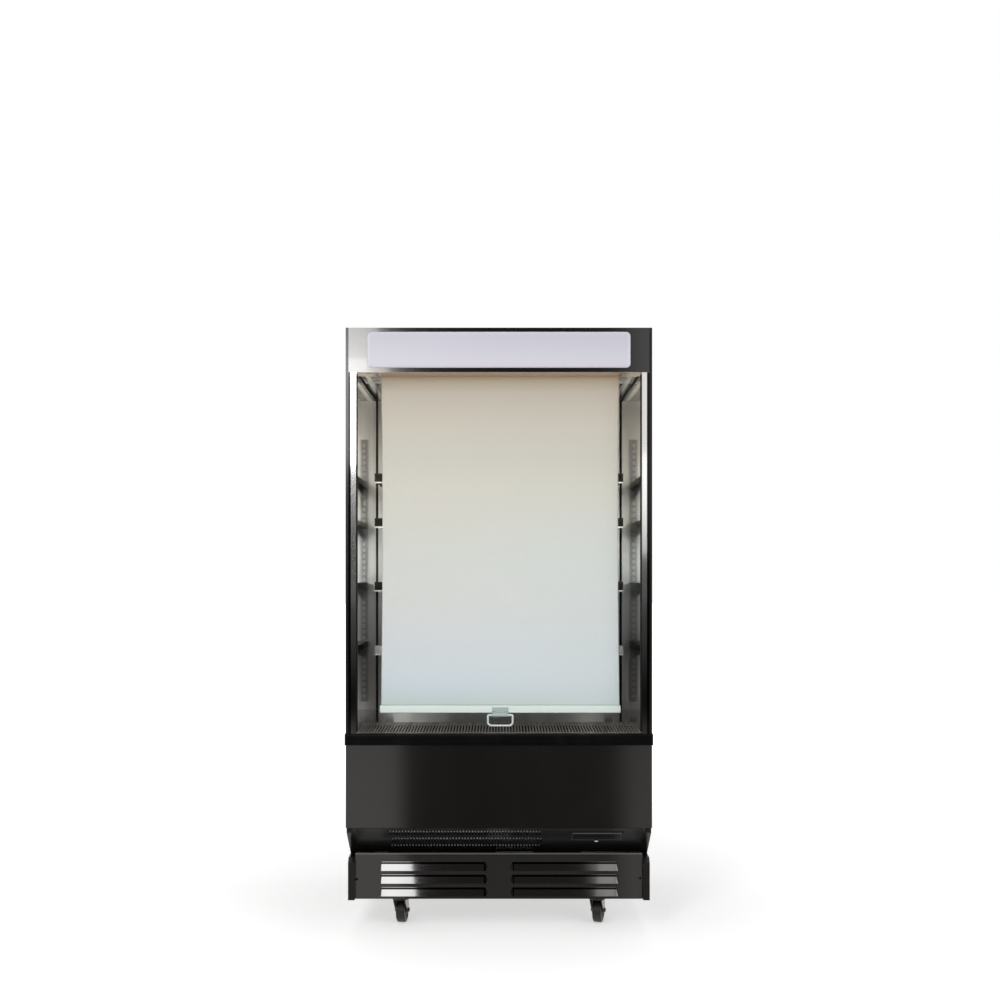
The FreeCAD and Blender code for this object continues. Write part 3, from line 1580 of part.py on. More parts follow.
def make_rear_grille(label):
    """Rear cover of the machine compartment: rows of slots and a cable gland."""
    body = new_body(label)
    wall = cell.sheet_metal
    face = BACK - cell.grille_recess
    low, high = TRAY_TOP + cell.tray_rim + cell.fit_gap, TUB_BOTTOM - cell.fit_gap
    blank = draw_rectangle(new_sketch(body, "XZ", -face), -FIT_HALF, low, FIT_HALF, high)
    swell(body, blank, wall)
    x, z = cell.gland_right, low + cell.gland_rise - cell.gland_radius
    boss = draw_circle(new_sketch(body, "XZ", -BACK), x, z, cell.gland_radius)
    swell(body, boss, cell.grille_recess)
    bore = draw_circle(new_sketch(body, "XZ", wall - face), x, z, cell.gland_bore)
    sink(body, bore, cell.grille_recess + wall)
    sketch = new_sketch(body, "XZ", wall - face)
    bottom = low + cell.rear_slot_bottom
    for column in (-1, 0, 1):
        left = cell.rear_slot_spread * column - cell.rear_slot_span / 2
        right, top = left + cell.rear_slot_span, bottom + cell.rear_slot_height
        draw_rectangle(sketch, left, bottom, right, top)
    slots = sink(body, sketch, wall)
    row_of(body, [slots], sketch, "V_Axis", cell.rear_slot_pitch, cell.rear_slot_rows)
    return body


def make_evaporator(label):
    """Evaporator on the floor of the tub: a finned coil against its fan plate."""
    x, y, z = -cell.evaporator_width / 2, EVAPORATOR_Y, EVAPORATOR_Z
    core = make_fin_pack(label, x, y, z, cell.evaporator_width, cell.evaporator_depth,
                         cell.evaporator_height)
    tubes = evaporator_tubes(label, x, y, z)
    return keep(fuse(label, core, make_cowl(), *tubes), label)


def evaporator_tubes(label, x, y, z):
    """Straight tubes through the evaporator, from end to end."""
    tubes = []
    for index in range(3):
        across = y + cell.evaporator_depth / 2 + cell.tube_pitch * (index - 1)
        tubes.append(rod(f"{label} tube {index}", x - cell.tube_radius * 3, across,
                         z + cell.evaporator_height / 2, cell.tube_radius,
                         cell.evaporator_width + cell.tube_radius * 6, (0, 1, 0), 90))
    return tubes


def make_cowl():
    """Fan plate across the tub, with a ring, struts and the evaporator fan's motor."""
    body = document.addObject("PartDesign::Body", "fan_plate")
    half = INNER_HALF - cell.tub_wall - cell.fit_gap * 2
    low, high = EVAPORATOR_Z, TUB_TOP - cell.fit_gap
    plate = draw_rectangle(new_sketch(body, "XZ", -COWL_Y - cell.sheet_metal), -half, low, half, high)
    swell(body, plate, cell.sheet_metal)
    wall, radius = cell.shroud_ring_wall, cell.cowl_radius
    rear = COWL_Y + cell.cowl_ring_depth
    swell(body, draw_circle(new_sketch(body, "XZ", -rear), 0, COWL_Z, radius + wall),
          cell.cowl_ring_depth)
    sink(body, draw_circle(new_sketch(body, "XZ", -COWL_Y), 0, COWL_Z, radius), cell.cowl_ring_depth)
    add_motor(body, rear, Size("0"), COWL_Z, radius + wall, cell.cowl_motor_length)
    return body


# ---------------------------------------------------------------- assembly

SHELF_SLOTS = (cell.shelf_slot_1, cell.shelf_slot_2, cell.shelf_slot_3, cell.shelf_slot_4)
CASTERS = {
    "front_left": (-cell.caster_spread, FRONT + cell.caster_front, cell.turn_front_left),
    "front_right": (cell.caster_spread, FRONT + cell.caster_front, cell.turn_front_right),
    "rear_left": (-cell.caster_spread, BACK - cell.caster_back, cell.turn_rear_left),
    "rear_right": (cell.caster_spread, BACK - cell.caster_back, cell.turn_rear_right),
}


def build_cabinet():
    """Panels, linings, tub and base."""
    for name, side in (("left", -1), ("right", 1)):
        make_side_panel(f"side_panel_{name}", side)
        make_liner(f"liner_{name}", side)
        make_front_trim(f"front_trim_{name}", side)
    make_tray("base_tray")
    make_back_panel("back_panel")
    make_roof("roof_panel")
    make_tub("tub")
    make_lower_cover("lower_front_cover")
    make_bumper("bumper")
    make_canopy("canopy_fascia")
    make_lens("sign_lens")
    make_lamp("sign_lamp")
    make_kick_plate("kick_plate")


def build_inside():
    """Deck, duct, ceiling, uprights and shelves."""
    make_deck("deck_pan")
    make_return_grille("return_grille")
    make_duct_panel("duct_panel")
    make_ceiling("ceiling_panel")
    make_air_outlet("air_outlet")
    gather("shelf_uprights", make_upright(-1), make_upright(1))
    brackets = []
    for number, slot in enumerate(SHELF_SLOTS, start=1):
        make_shelf(f"shelf_{number}", slot)
        make_price_rail(f"price_rail_{number}", slot)
        brackets += [make_bracket(number, slot, side) for side in (-1, 1)]
    gather("shelf_brackets", *brackets)


def build_curtain():
    """Roller, fabric, bottom rail and handle."""
    gather("roller_brackets", make_roller_bracket(-1), make_roller_bracket(1))
    make_roller("curtain_roller")
    make_curtain("curtain_fabric")
    make_bottom_rail("curtain_bottom_rail")
    make_handle_plate("handle_plate")
    make_bail("handle_bail")


def build_control():
    """Slanted panel, flap and controller."""
    make_vent_panel("vent_panel")
    make_flap("control_flap")
    make_thermostat("thermostat")
    for index, name in enumerate(("key_down", "key_up", "key_set")):
        make_key(name, index)
    make_rocker("light_switch")


def build_machine():
    """Casters, condenser, compressor, evaporator and fans."""
    plates = []
    for name, (x, y, angle) in CASTERS.items():
        plates.append(make_caster_plate(name, x, y))
        make_fork(f"caster_fork_{name}", x, y, angle)
        make_wheel(f"caster_wheel_{name}", x, y, angle)
    gather("caster_plates", *plates)
    make_condenser("condenser")
    make_shroud("fan_shroud")
    middle = SHROUD_Y + cell.shroud_ring_depth - cell.motor_gap - cell.fan_hub_length / 2
    make_fan("condenser_fan", (FAN_X, middle, FAN_Z), cell.fan_hub_radius, cell.fan_hub_length,
             cell.fan_radius, cell.blade_chord, cell.blade_rise)
    make_compressor("compressor")
    make_rear_grille("rear_grille")
    make_evaporator("evaporator")
    middle = COWL_Y + cell.cowl_ring_depth - cell.motor_gap - cell.cowl_hub_length / 2
    make_fan("evaporator_fan", (Size("0"), middle, COWL_Z), cell.cowl_hub_radius, cell.cowl_hub_length,
             cell.cowl_fan_radius, cell.cowl_blade_chord, cell.cowl_blade_rise)


def check_document():
    """Stop if an object failed, a piece isn't a valid solid, or a cut or a pad changed nothing."""
    faults = []
    for item in document.Objects:
        if {"Invalid", "Error"} & set(item.State):
            faults.append(f"{item.Name} failed: {item.getStatusString()}")
            continue
        base = getattr(item, "BaseFeature", None)
        if base is None or not item.isDerivedFrom("PartDesign::Feature"):
            continue
        if item.Shape.isNull() or base.Shape.isNull():
            faults.append(f"{item.Name} has no shape")
            continue
        if abs(item.Shape.Volume - base.Shape.Volume) < 1e-3:
            faults.append(f"{item.Name} changes nothing")
    for label, piece in MODEL.items():
        if piece.Shape.isNull() or not piece.Shape.isValid() or not piece.Shape.Solids:
            faults.append(f"{label} isn't a valid solid")
    if faults:
        raise RuntimeError("; ".join(faults))


def export_pieces():
    """Write one STEP file for each piece."""
    os.makedirs("parts", exist_ok=True)
    for label, piece in MODEL.items():
        piece.Shape.exportStep(f"parts/{label}.step")


def main():
    """Build, check and export the fridge."""
    build_cabinet()
    build_inside()
    build_curtain()
    build_control()
    build_machine()
    document.recompute()
    check_document()
    export_pieces()
    print(len(MODEL), "pieces")


main()
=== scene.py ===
"""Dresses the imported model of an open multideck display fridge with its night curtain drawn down.

Everything is in metres in the model's own frame: +X to the right of someone facing the open front,
+Y to the back, +Z up, with the floor at zero.
"""
import logging
import math
from dataclasses import dataclass
from enum import Enum
from typing import Sequence, Union

import bmesh
import bpy
import numpy as np
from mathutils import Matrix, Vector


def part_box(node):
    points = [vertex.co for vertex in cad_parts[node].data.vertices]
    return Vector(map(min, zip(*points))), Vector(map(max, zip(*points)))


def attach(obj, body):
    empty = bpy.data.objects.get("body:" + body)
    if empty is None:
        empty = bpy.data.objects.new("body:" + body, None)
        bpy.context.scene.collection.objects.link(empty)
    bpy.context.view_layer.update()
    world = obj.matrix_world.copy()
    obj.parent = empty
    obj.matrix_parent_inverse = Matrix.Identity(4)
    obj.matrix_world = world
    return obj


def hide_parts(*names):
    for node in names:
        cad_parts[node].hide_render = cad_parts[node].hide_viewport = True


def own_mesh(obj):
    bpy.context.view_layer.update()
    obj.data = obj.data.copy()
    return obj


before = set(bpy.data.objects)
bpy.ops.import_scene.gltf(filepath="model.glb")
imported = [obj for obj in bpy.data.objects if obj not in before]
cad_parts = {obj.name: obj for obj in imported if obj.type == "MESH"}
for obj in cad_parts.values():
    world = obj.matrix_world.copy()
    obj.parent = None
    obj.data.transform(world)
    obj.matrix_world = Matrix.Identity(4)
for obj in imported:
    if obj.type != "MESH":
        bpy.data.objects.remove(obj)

log = logging.getLogger("fridge")
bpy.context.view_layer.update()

Pair = tuple[float, float]
Place = tuple[float, float, float]
Colour = tuple[float, float, float]
Shape = tuple[np.ndarray, list[list[int]]]
Link = bpy.types.NodeSocket
Number = Union["Signal", float]

WHITE = (1.0, 1.0, 1.0)
WARM_WHITE = (1.0, 0.985, 0.965)
RAIL_TOPS = (1.3895, 1.2495, 1.0495, 0.8495)  # the price rails' upper edges, highest first
UP_SLANT = (-0.737, 0.676)  # (y, z) up along the slanted vent panel
INTO_SLANT = (0.676, 0.737)  # (y, z) square into it


# ---------------------------------------------------------------- shader maths


class Signal:
    """A number that runs through a shader. Arithmetic on signals adds the Math nodes for it."""

    def __init__(self, board: "Board", socket: Link) -> None:
        """Wrap the output socket of a node on board."""
        self.board = board
        self.socket = socket

    def _with(self, operation: str, first: Number, second: Number) -> "Signal":
        """One Math node on two values.

        Args:
            operation: The node's operation.
            first: Its first value.
            second: Its second value.

        Returns:
            The node's result.
        """
        node = self.board.node("ShaderNodeMath", {"operation": operation}, {0: first, 1: second})
        return Signal(self.board, node.outputs[0])

    def __add__(self, other: Number) -> "Signal":
        """Sum."""
        return self._with("ADD", self, other)

    __radd__ = __add__

    def __sub__(self, other: Number) -> "Signal":
        """Difference."""
        return self._with("SUBTRACT", self, other)

    def __rsub__(self, other: Number) -> "Signal":
        """Difference, the other way round."""
        return self._with("SUBTRACT", other, self)

    def __mul__(self, other: Number) -> "Signal":
        """Product."""
        return self._with("MULTIPLY", self, other)

    __rmul__ = __mul__

    def __truediv__(self, other: Number) -> "Signal":
        """Quotient."""
        return self._with("DIVIDE", self, other)

    def __pow__(self, other: Number) -> "Signal":
        """Power."""
        return self._with("POWER", self, other)

    def __abs__(self) -> "Signal":
        """Size without sign."""
        return self._with("ABSOLUTE", self, 0.0)

    def ramp(self, low: float, high: float) -> "Signal":
        """Rise smoothly from 0 at low to 1 at high, or fall where high is the lower one.

        Args:
            low: Value that gives 0.
            high: Value that gives 1.

        Returns:
            The smoothed share.
        """
        near, far = min(low, high), max(low, high)
        ends = (0.0, 1.0) if low < high else (1.0, 0.0)
        node = self.board.node("ShaderNodeMapRange", {"interpolation_type": "SMOOTHSTEP"}, {
            "Value": self, "From Min": near, "From Max": far, "To Min": ends[0], "To Max": ends[1]})
        return Signal(self.board, node.outputs[0])

    def wave(self) -> "Signal":
        """Sine of the value."""
        return self._with("SINE", self, 0.0)


class Board:
    """The node tree of a material or of the world, with short ways to fill it."""

    def __init__(self, tree: bpy.types.NodeTree) -> None:
        """Empty the tree and keep it."""
        self.tree = tree
        tree.nodes.clear()

    def node(self, kind: str, settings: dict | None = None, sockets: dict | None = None) -> bpy.types.Node:
        """Add one node.

        Args:
            kind: The node's type.
            settings: Its own settings, set first. "stops" are a ramp's (place, colour) pairs.
            sockets: What goes into its sockets, by name or number: a signal, a socket or a value.

        Returns:
            The new node.
        """
        node = self.tree.nodes.new(kind)
        for name, value in (settings or {}).items():
            if name == "stops":
                stops = node.color_ramp.elements
                stops[0].position, stops[1].position = value[0][0], value[-1][0]
                for place, _ in value[1:-1]:
                    stops.new(place)
                for stop, (_, colour) in zip(stops, value):
                    stop.color = (*colour, 1.0)
            else:
                setattr(node, name, value)
        for key, value in (sockets or {}).items():
            if isinstance(value, Signal):
                value = value.socket
            if isinstance(value, bpy.types.NodeSocket):
                self.tree.links.new(value, node.inputs[key])
            elif isinstance(value, tuple) and len(value) == 3 and node.inputs[key].type == "RGBA":
                node.inputs[key].default_value = (*value, 1.0)
            else:
                node.inputs[key].default_value = value
        return node

    def place(self, stretch: Sequence[float] = (1.0, 1.0, 1.0)) -> Link:
        """Object coordinates in metres, each stretched by its own factor."""
        source = self.node("ShaderNodeTexCoord").outputs["Object"]
        return self.shader("Mapping", {"Vector": source, "Scale": tuple(stretch)})

    def axis(self, which: str) -> Signal:
        """One object coordinate, in metres."""
        source = self.node("ShaderNodeTexCoord").outputs["Object"]
        return Signal(self, self.node("ShaderNodeSeparateXYZ", None, {0: source}).outputs[which])

    def noise(self, scale: float, detail: float = 2.0, stretch: Sequence[float] = (1.0, 1.0, 1.0),
              warp: float = 0.0) -> Signal:
        """Smooth noise from 0 to 1.

        Args:
            scale: Waves per metre.
            detail: Number of finer octaves.
            stretch: Factor on each coordinate; a small one draws streaks along that axis.
            warp: How much the noise bends itself.

        Returns:
            The noise.
        """
        return Signal(self, self.shader("TexNoise", {
            "Vector": self.place(stretch), "Scale": scale, "Detail": detail, "Distortion": warp}))

    def cells(self, scale: float) -> Link:
        """The colours of Voronoi cells, as many to a metre as the scale says."""
        node = self.node("ShaderNodeTexVoronoi", None, {"Vector": self.place(), "Scale": scale})
        return node.outputs["Color"]

    def blend(self, share: Number, first: Union[Colour, Link], second: Union[Colour, Link]) -> Link:
        """A colour between two colours.

        Args:
            share: 0 for the first, 1 for the second.
            first: A colour or a link to one.
            second: A colour or a link to one.

        Returns:
            The mixed colour.
        """
        return self.node("ShaderNodeMix", {"data_type": "RGBA"}, {0: share, 6: first, 7: second}).outputs[2]

    def relief(self, height: Signal, depth: float) -> Link:
        """A normal from a height.

        Args:
            height: The height, about 0 to 1.
            depth: What 1 stands for, in metres.

        Returns:
            The normal.
        """
        return self.shader("Bump", {"Height": height, "Distance": depth})

    def shader(self, kind: str, sockets: dict) -> Link:
        """The first output of a node that needs no settings, by the last part of its type."""
        return self.node(f"ShaderNode{kind}", None, sockets).outputs[0]

    def surface(self, sockets: dict) -> None:
        """Close the tree with one Principled shader.

        Args:
            sockets: What goes into it, by the sockets' names.
        """
        self.node("ShaderNodeOutputMaterial", None, {0: self.shader("BsdfPrincipled", sockets)})


@dataclass(frozen=True)
class Finish:
    """A finish with a name; each kind of finish fills its board in its own way."""

    name: str

    def material(self) -> bpy.types.Material:
        """The finish's material, made the first time it is asked for."""
        label = f"{self.name}_finish"
        found = bpy.data.materials.get(label)
        if found:
            return found
        made = bpy.data.materials.new(label)
        made.use_nodes = True
        self.fill(Board(made.node_tree))
        return made

    def fill(self, board: Board) -> None:
        """Put the finish's nodes on board."""
        raise NotImplementedError

    def dress(self, *nodes: str) -> None:
        """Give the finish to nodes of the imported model."""
        for name in nodes:
            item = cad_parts[name]
            item.data.materials.clear()
            item.data.materials.append(self.material())
            for slot in item.material_slots:
                slot.material = self.material()


@dataclass(frozen=True)
class Paint(Finish):
    """Stoved paint or plastic coating on sheet: faint waviness, fine dust and soft smears."""

    colour: Colour
    dusty: Colour
    roughness: float = 0.12
    smear: float = 0.1
    metallic: float = 0.0
    specular: float = 0.5
    coat: float = 0.0
    peel: float = 900.0
    peel_depth: float = 3e-7
    smear_scale: float = 3.0
    smear_range: Pair = (0.45, 0.85)
    smear_share: float = 0.3
    speck_scale: float = 700.0
    speck_range: Pair = (0.62, 0.8)
    speck_share: float = 0.12
    wave_scale: float = 7.0
    wave_depth: float = 1e-4

    def fill(self, board: Board) -> None:
        """Colour and roughness follow slow smears; the relief is the paint's orange peel."""
        smears = board.noise(self.smear_scale, 5.0, (1.0, 1.0, 0.35), 0.6)
        specks = board.noise(self.speck_scale, 1.0)
        dust = specks.ramp(*self.speck_range) * self.speck_share
        dust = dust + smears.ramp(*self.smear_range) * self.smear_share
        peel = board.noise(self.peel, 1.0) * self.peel_depth
        waves = peel + board.noise(self.wave_scale, 1.0) * self.wave_depth
        board.surface({
            "Base Color": self.shade(board, board.blend(dust, self.colour, self.dusty)),
            "Roughness": smears * self.smear + (self.roughness - self.smear / 2),
            "Metallic": self.bare(board),
            "Specular IOR Level": self.specular,
            "Coat Weight": self.lacquer(board),
            "Normal": board.relief(waves, 1.0),
        })

    def shade(self, board: Board, colour: Link) -> Link:
        """The paint's colour as it is."""
        return colour

    def bare(self, board: Board) -> Number:
        """The share that reflects as metal, the same all over."""
        return self.metallic

    def lacquer(self, board: Board) -> Number:
        """The weight of the clear coat, the same all over."""
        return self.coat


@dataclass(frozen=True)
class PressedPaint(Paint):
    """Enamel on the louvred plate, with painted shade on its louvres and a painted highlight along its top
    bend.

    The painted shade lies on the louvres' inner ends, between two distances from the middle, and on their
    shoulders, between two depths; there the enamel turns to dark metal without clear coat, so that it hardly
    mirrors.
    """

    inner: float = 0.0345
    outer: float = 0.0445
    face: float = -0.2795
    shoulder: float = -0.2811
    top: float = 0.24
    bend: float = 0.0026
    soft: float = 0.0004
    bright: Colour = (0.16, 0.153, 0.15)

    def shade(self, board: Board, colour: Link) -> Link:
        """A painted highlight: paler along the bend at the top edge."""
        start = self.top - self.bend
        return board.blend(board.axis("Z").ramp(start, start + self.soft), colour, self.bright)

    def louvre_shade(self, board: Board) -> Signal:
        """Where the shade is painted: one on the shoulders and the inner ends of the louvres, zero on the
        rest.
        """
        across, depth = abs(board.axis("X")), board.axis("Y")
        beyond = across.ramp(self.inner - self.soft, self.inner)
        ends = beyond * across.ramp(self.outer + self.soft, self.outer)
        ridge = depth.ramp(self.shoulder - self.soft, self.shoulder)
        return (ends + ridge * (1.0 - ends)) * depth.ramp(self.face + self.soft, self.face)

    def bare(self, board: Board) -> Number:
        """Painted shade: dark metal on the louvres' shoulders and inner ends, so that they hardly mirror."""
        return self.louvre_shade(board)

    def lacquer(self, board: Board) -> Number:
        """No clear coat where the shade is painted."""
        return (1.0 - self.louvre_shade(board)) * self.coat


@dataclass(frozen=True)
class BounceLitPaint(Paint):
    """Paint with a warm tint below the hem's height, on the underside: painted bounce light and a painted
    reflection of the cloth below.
    """

    hem: float = 1.6697
    soft: float = 0.0004
    bounce_tint: Colour = (0.4, 0.29, 0.19)

    def shade(self, board: Board, colour: Link) -> Link:
        """Warm painted bounce light under the hem's height."""
        return board.blend(board.axis("Z").ramp(self.hem, self.hem - self.soft), colour, self.bounce_tint)


@dataclass(frozen=True)
class Steel(Finish):
    """Bare or polished sheet steel with a drawn grain along one axis."""

    colour: Colour
    dark: Colour
    roughness: float = 0.2
    grain: Sequence[float] = (1.0, 1.0, 0.02)
    grain_scale: float = 900.0
    grain_depth: float = 2e-6
    streak: float = 0.12
    dent: float = 6e-5
    metallic: float = 1.0
    streak_scale: float = 24.0
    streak_range: Pair = (0.3, 0.75)
    dent_scale: float = 6.0

    def fill(self, board: Board) -> None:
        """Grain moves the roughness and the relief; wide streaks move the colour."""
        grain = board.noise(self.grain_scale, 3.0, self.grain)
        wide = board.noise(self.streak_scale, 3.0, self.grain)
        dents = board.noise(self.dent_scale, 1.0)
        colour = board.blend(wide.ramp(*self.streak_range), self.colour, self.dark)
        board.surface({
            "Base Color": self.shade(board, colour),
            "Roughness": grain * self.streak + wide * self.streak + (self.roughness - self.streak),
            "Metallic": self.metallic,
            "Normal": board.relief(grain * self.grain_depth + dents * self.dent, 1.0),
        })

    def shade(self, board: Board, colour: Link) -> Link:
        """The sheet's colour as it is."""
        return colour


@dataclass(frozen=True)
class EdgedSteel(Steel):
    """Sheet steel with painted shade: black beyond its outer fold, in the shadow gap, and darker towards the
    deck, where its reflections fade.
    """

    fold: float = 0.4348
    soft: float = 0.0004
    black: Colour = (0.016, 0.015, 0.015)
    dull: Colour = (0.1, 0.097, 0.094)
    dull_from: float = 0.98
    dull_to: float = 0.7

    def shade(self, board: Board, colour: Link) -> Link:
        """Painted shade: darker below, and black beyond the fold on both sides of the fridge."""
        faded = board.blend(board.axis("Z").ramp(self.dull_from, self.dull_to), colour, self.dull)
        beyond = abs(board.axis("X")).ramp(self.fold - self.soft, self.fold + self.soft)
        return board.blend(beyond, faded, self.black)


@dataclass(frozen=True)
class Zinc(Finish):
    """Galvanised sheet with its crystal spangle."""

    light: Colour
    dark: Colour
    roughness: float = 0.38
    spangle: float = 160.0
    metallic: float = 0.9
    stain_scale: float = 9.0
    pit_scale: float = 400.0
    pit_depth: float = 4e-6

    def fill(self, board: Board) -> None:
        """Every crystal has its own shade and gloss."""
        crystals = Signal(board, board.shader("SeparateColor", {0: board.cells(self.spangle)}))
        stains = board.noise(self.stain_scale, 4.0)
        board.surface({
            "Base Color": board.blend(crystals * 0.6 + stains * 0.4, self.light, self.dark),
            "Roughness": crystals * 0.14 + stains * 0.1 + (self.roughness - 0.12),
            "Metallic": self.metallic,
            "Normal": board.relief(board.noise(self.pit_scale, 2.0), self.pit_depth),
        })


@dataclass(frozen=True)
class Moulding(Finish):
    """Moulded plastic or rubber with a fine eroded texture."""

    colour: Colour
    worn: Colour
    roughness: float = 0.45
    texture: float = 1400.0
    depth: float = 1.5e-5
    specular: float = 0.4
    rub_scale: float = 18.0
    rub_range: Pair = (0.45, 0.8)
    rub_gloss: float = 0.16

    def fill(self, board: Board) -> None:
        """Fine pits in the relief, slow rubbed patches in colour and gloss."""
        pits = board.noise(self.texture, 2.0)
        rubbed = board.noise(self.rub_scale, 4.0)
        colour = board.blend(rubbed.ramp(*self.rub_range) * 0.6 + pits * 0.15, self.colour, self.worn)
        board.surface({
            "Base Color": self.shade(board, colour),
            "Roughness": rubbed * self.rub_gloss + (self.roughness - self.rub_gloss / 2),
            "Specular IOR Level": self.specular,
            "Normal": board.relief(pits, self.depth),
        })

    def shade(self, board: Board, colour: Link) -> Link:
        """The moulding's colour as it is."""
        return colour


@dataclass(frozen=True)
class Bordered(Moulding):
    """A moulding in the slanted panel's plane, with a pale border. Its top is measured up the slant."""

    left: float = 0.216
    right: float = 0.363
    top: float = 0.4483
    height: float = 0.038
    border: float = 0.003
    pale: Colour = (0.075, 0.078, 0.085)

    def shade(self, board: Board, colour: Link) -> Link:
        """Pale where the nearest edge is less than the border away; up runs along the slant."""
        across = board.axis("X")
        up = board.axis("Y") * UP_SLANT[0] + board.axis("Z") * UP_SLANT[1]
        foot = self.top - self.height
        left = across.ramp(self.left + self.border, self.left)
        sides = left + across.ramp(self.right - self.border, self.right)
        ends = up.ramp(self.top - self.border, self.top) + up.ramp(foot + self.border, foot)
        return board.blend(sides + ends, colour, self.pale)


@dataclass(frozen=True)
class Opal(Finish):
    """Opal acrylic lit from behind, with painted highlights: brighter towards its rim, and a little rosy
    along its lower edge.
    """

    colour: Colour
    rim: Colour
    rosy: Colour
    half_width: float
    low: float
    high: float
    glow: float = 0.12
    roughness: float = 0.3
    edge: float = 0.001
    rim_width: float = 0.012
    foot_width: float = 0.007
    cloud_scale: float = 5.0
    grain_scale: float = 60.0

    def fill(self, board: Board) -> None:
        """Painted highlights: more of the rim's colour near the ends and the top, and rosy at the very foot;
        also more of the rim's colour towards the foot.
        """
        across, up = board.axis("X"), board.axis("Z")
        side = abs(across).ramp(self.half_width - self.rim_width, self.half_width - self.edge)
        top = up.ramp(self.high - self.rim_width, self.high - self.edge) * 0.3
        foot = up.ramp(self.low + self.foot_width, self.low + self.edge)
        cloud = board.noise(self.cloud_scale, 2.0) * 0.1
        share = side * 0.6 + top + cloud + up.ramp(self.high, self.low) * 0.75
        pale = board.blend(share, self.colour, self.rim)
        colour = board.blend(foot * 0.8, pale, self.rosy)
        board.surface({
            "Base Color": colour,
            "Emission Color": colour,
            "Emission Strength": self.glow,
            "Roughness": board.noise(self.grain_scale, 2.0) * 0.06 + self.roughness,
            "Specular IOR Level": 0.1,
        })


@dataclass(frozen=True)
class Fabric(Finish):
    """Coated roller-blind cloth: plain weave, with its light painted into its colour: a warm tan painted
    shade under the canopy, a painted warm lift just under the roller, and painted cool light towards its
    foot.

    Its shades are the (height, colour) stops of this painted light, with the height as a share of the way
    from low to high.
    """

    low: float
    high: float
    shades: tuple[tuple[float, Colour], ...]
    cool: Colour
    shadow: Colour
    roughness: float = 0.72
    threads: float = 650.0
    slub_scale: float = 420.0
    fleck_scale: float = 260.0
    cloud_scale: float = 2.2
    cool_across: Pair = (-0.2, 0.36)
    cool_down: Pair = (1.45, 1.0)

    def fill(self, board: Board) -> None:
        """Painted light follows the height and turns cooler on the lower right; warp and weft are two sines
        on X and Z.
        """
        across, up = board.axis("X"), board.axis("Z")
        share = (up - self.low) / (self.high - self.low)
        turn = math.tau * self.threads
        weave = (across * turn).wave() * (up * turn).wave()
        warp = board.noise(self.slub_scale, 3.0, (1.0, 1.0, 0.12))
        slub = warp + board.noise(self.slub_scale, 3.0, (0.12, 1.0, 1.0))
        fleck = board.noise(self.fleck_scale, 3.0)
        cloud = board.noise(self.cloud_scale, 3.0)
        # The ramp paints the light: cool below, tan shade under the canopy, a warm lift just under the
        # roller.
        spread = board.node("ShaderNodeValToRGB", {"stops": self.shades}, {0: share}).outputs[0]
        # Painted cool light, strongest low on the right.
        side = across.ramp(*self.cool_across) * up.ramp(*self.cool_down) * 0.5
        colour = board.blend(side, spread, self.cool)
        shade = slub * 0.05 + fleck.ramp(0.3, 0.7) * 0.07 + cloud * 0.06
        board.surface({
            "Base Color": board.blend(shade, colour, self.shadow),
            "Roughness": slub * 0.05 + self.roughness,
            "Specular IOR Level": 0.25,
            "Sheen Weight": 0.1,
            "Normal": board.relief(weave * 0.3 + slub, 2e-5),
        })


# ---------------------------------------------------------------- meshes worked out as arrays


def grid_faces(rows: int, columns: int, round_rows: bool = False, round_columns: bool = False) -> np.ndarray:
    """Quads of a grid of points.

    Args:
        rows: Number of rows.
        columns: Number of columns.
        round_rows: Join the last row to the first.
        round_columns: Join the last column to the first.

    Returns:
        An array of four point numbers for each face.
    """
    row = np.arange(rows if round_rows else rows - 1)[:, None]
    column = np.arange(columns if round_columns else columns - 1)[None, :]
    next_row, next_column = (row + 1) % rows, (column + 1) % columns
    corners = (row * columns + column, row * columns + next_column,
               next_row * columns + next_column, next_row * columns + column)
    return np.stack([np.broadcast_to(c, (row.size, column.size)).ravel() for c in corners], axis=1)


def piece(name: str, points: np.ndarray, faces: Sequence[Sequence[int]], finish: Finish, body: str,
          slot: str, smooth: bool = True) -> bpy.types.Object:
    """Make one object that rides on a body of the model.

    Args:
        name: The object's name.
        points: Its points, in metres in the model's frame.
        faces: Point numbers of each face.
        finish: Its finish.
        body: The body it moves with.
        slot: The record's material slot it belongs to; not used.
        smooth: Whether its faces are shaded smooth.

    Returns:
        The new object.
    """
    mesh = bpy.data.meshes.new(name)
    mesh.from_pydata(np.asarray(points, float).reshape(-1, 3).tolist(), [],
                     [list(map(int, face)) for face in faces])
    mesh.polygons.foreach_set("use_smooth", np.full(len(mesh.polygons), smooth))
    mesh.materials.append(finish.material())
    mesh.update()
    item = bpy.data.objects.new(name, mesh)
    bpy.context.scene.collection.objects.link(item)
    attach(item, body)
    log.info("%s: %d faces on %s", name, len(mesh.polygons), body)
    return item


def turn_outwards(item: bpy.types.Object) -> None:
    """Turn all faces of a closed mesh outwards."""
    work = bmesh.new()
    work.from_mesh(item.data)
    bmesh.ops.recalc_face_normals(work, faces=work.faces)
    work.to_mesh(item.data)
    work.free()


def apply_modifiers(item: bpy.types.Object) -> None:
    """Bake an object's modifiers into its mesh."""
    bpy.context.view_layer.update()
    graph = bpy.context.evaluated_depsgraph_get()
    done = bpy.data.meshes.new_from_object(item.evaluated_get(graph), preserve_all_data_layers=True,
                                           depsgraph=graph)
    item.modifiers.clear()
    item.data = done


def merge(parts: Sequence[Shape]) -> Shape:
    """Put several (points, faces) into one.

    Args:
        parts: The points and faces of each part.

    Returns:
        All the points, and all the faces with their numbers moved on.
    """
    points, faces, start = [], [], 0
    for some_points, some_faces in parts:
        some_points = np.asarray(some_points, float).reshape(-1, 3)
        points.append(some_points)
        faces += [[int(i) + start for i in face] for face in some_faces]
        start += len(some_points)
    return np.concatenate(points), faces


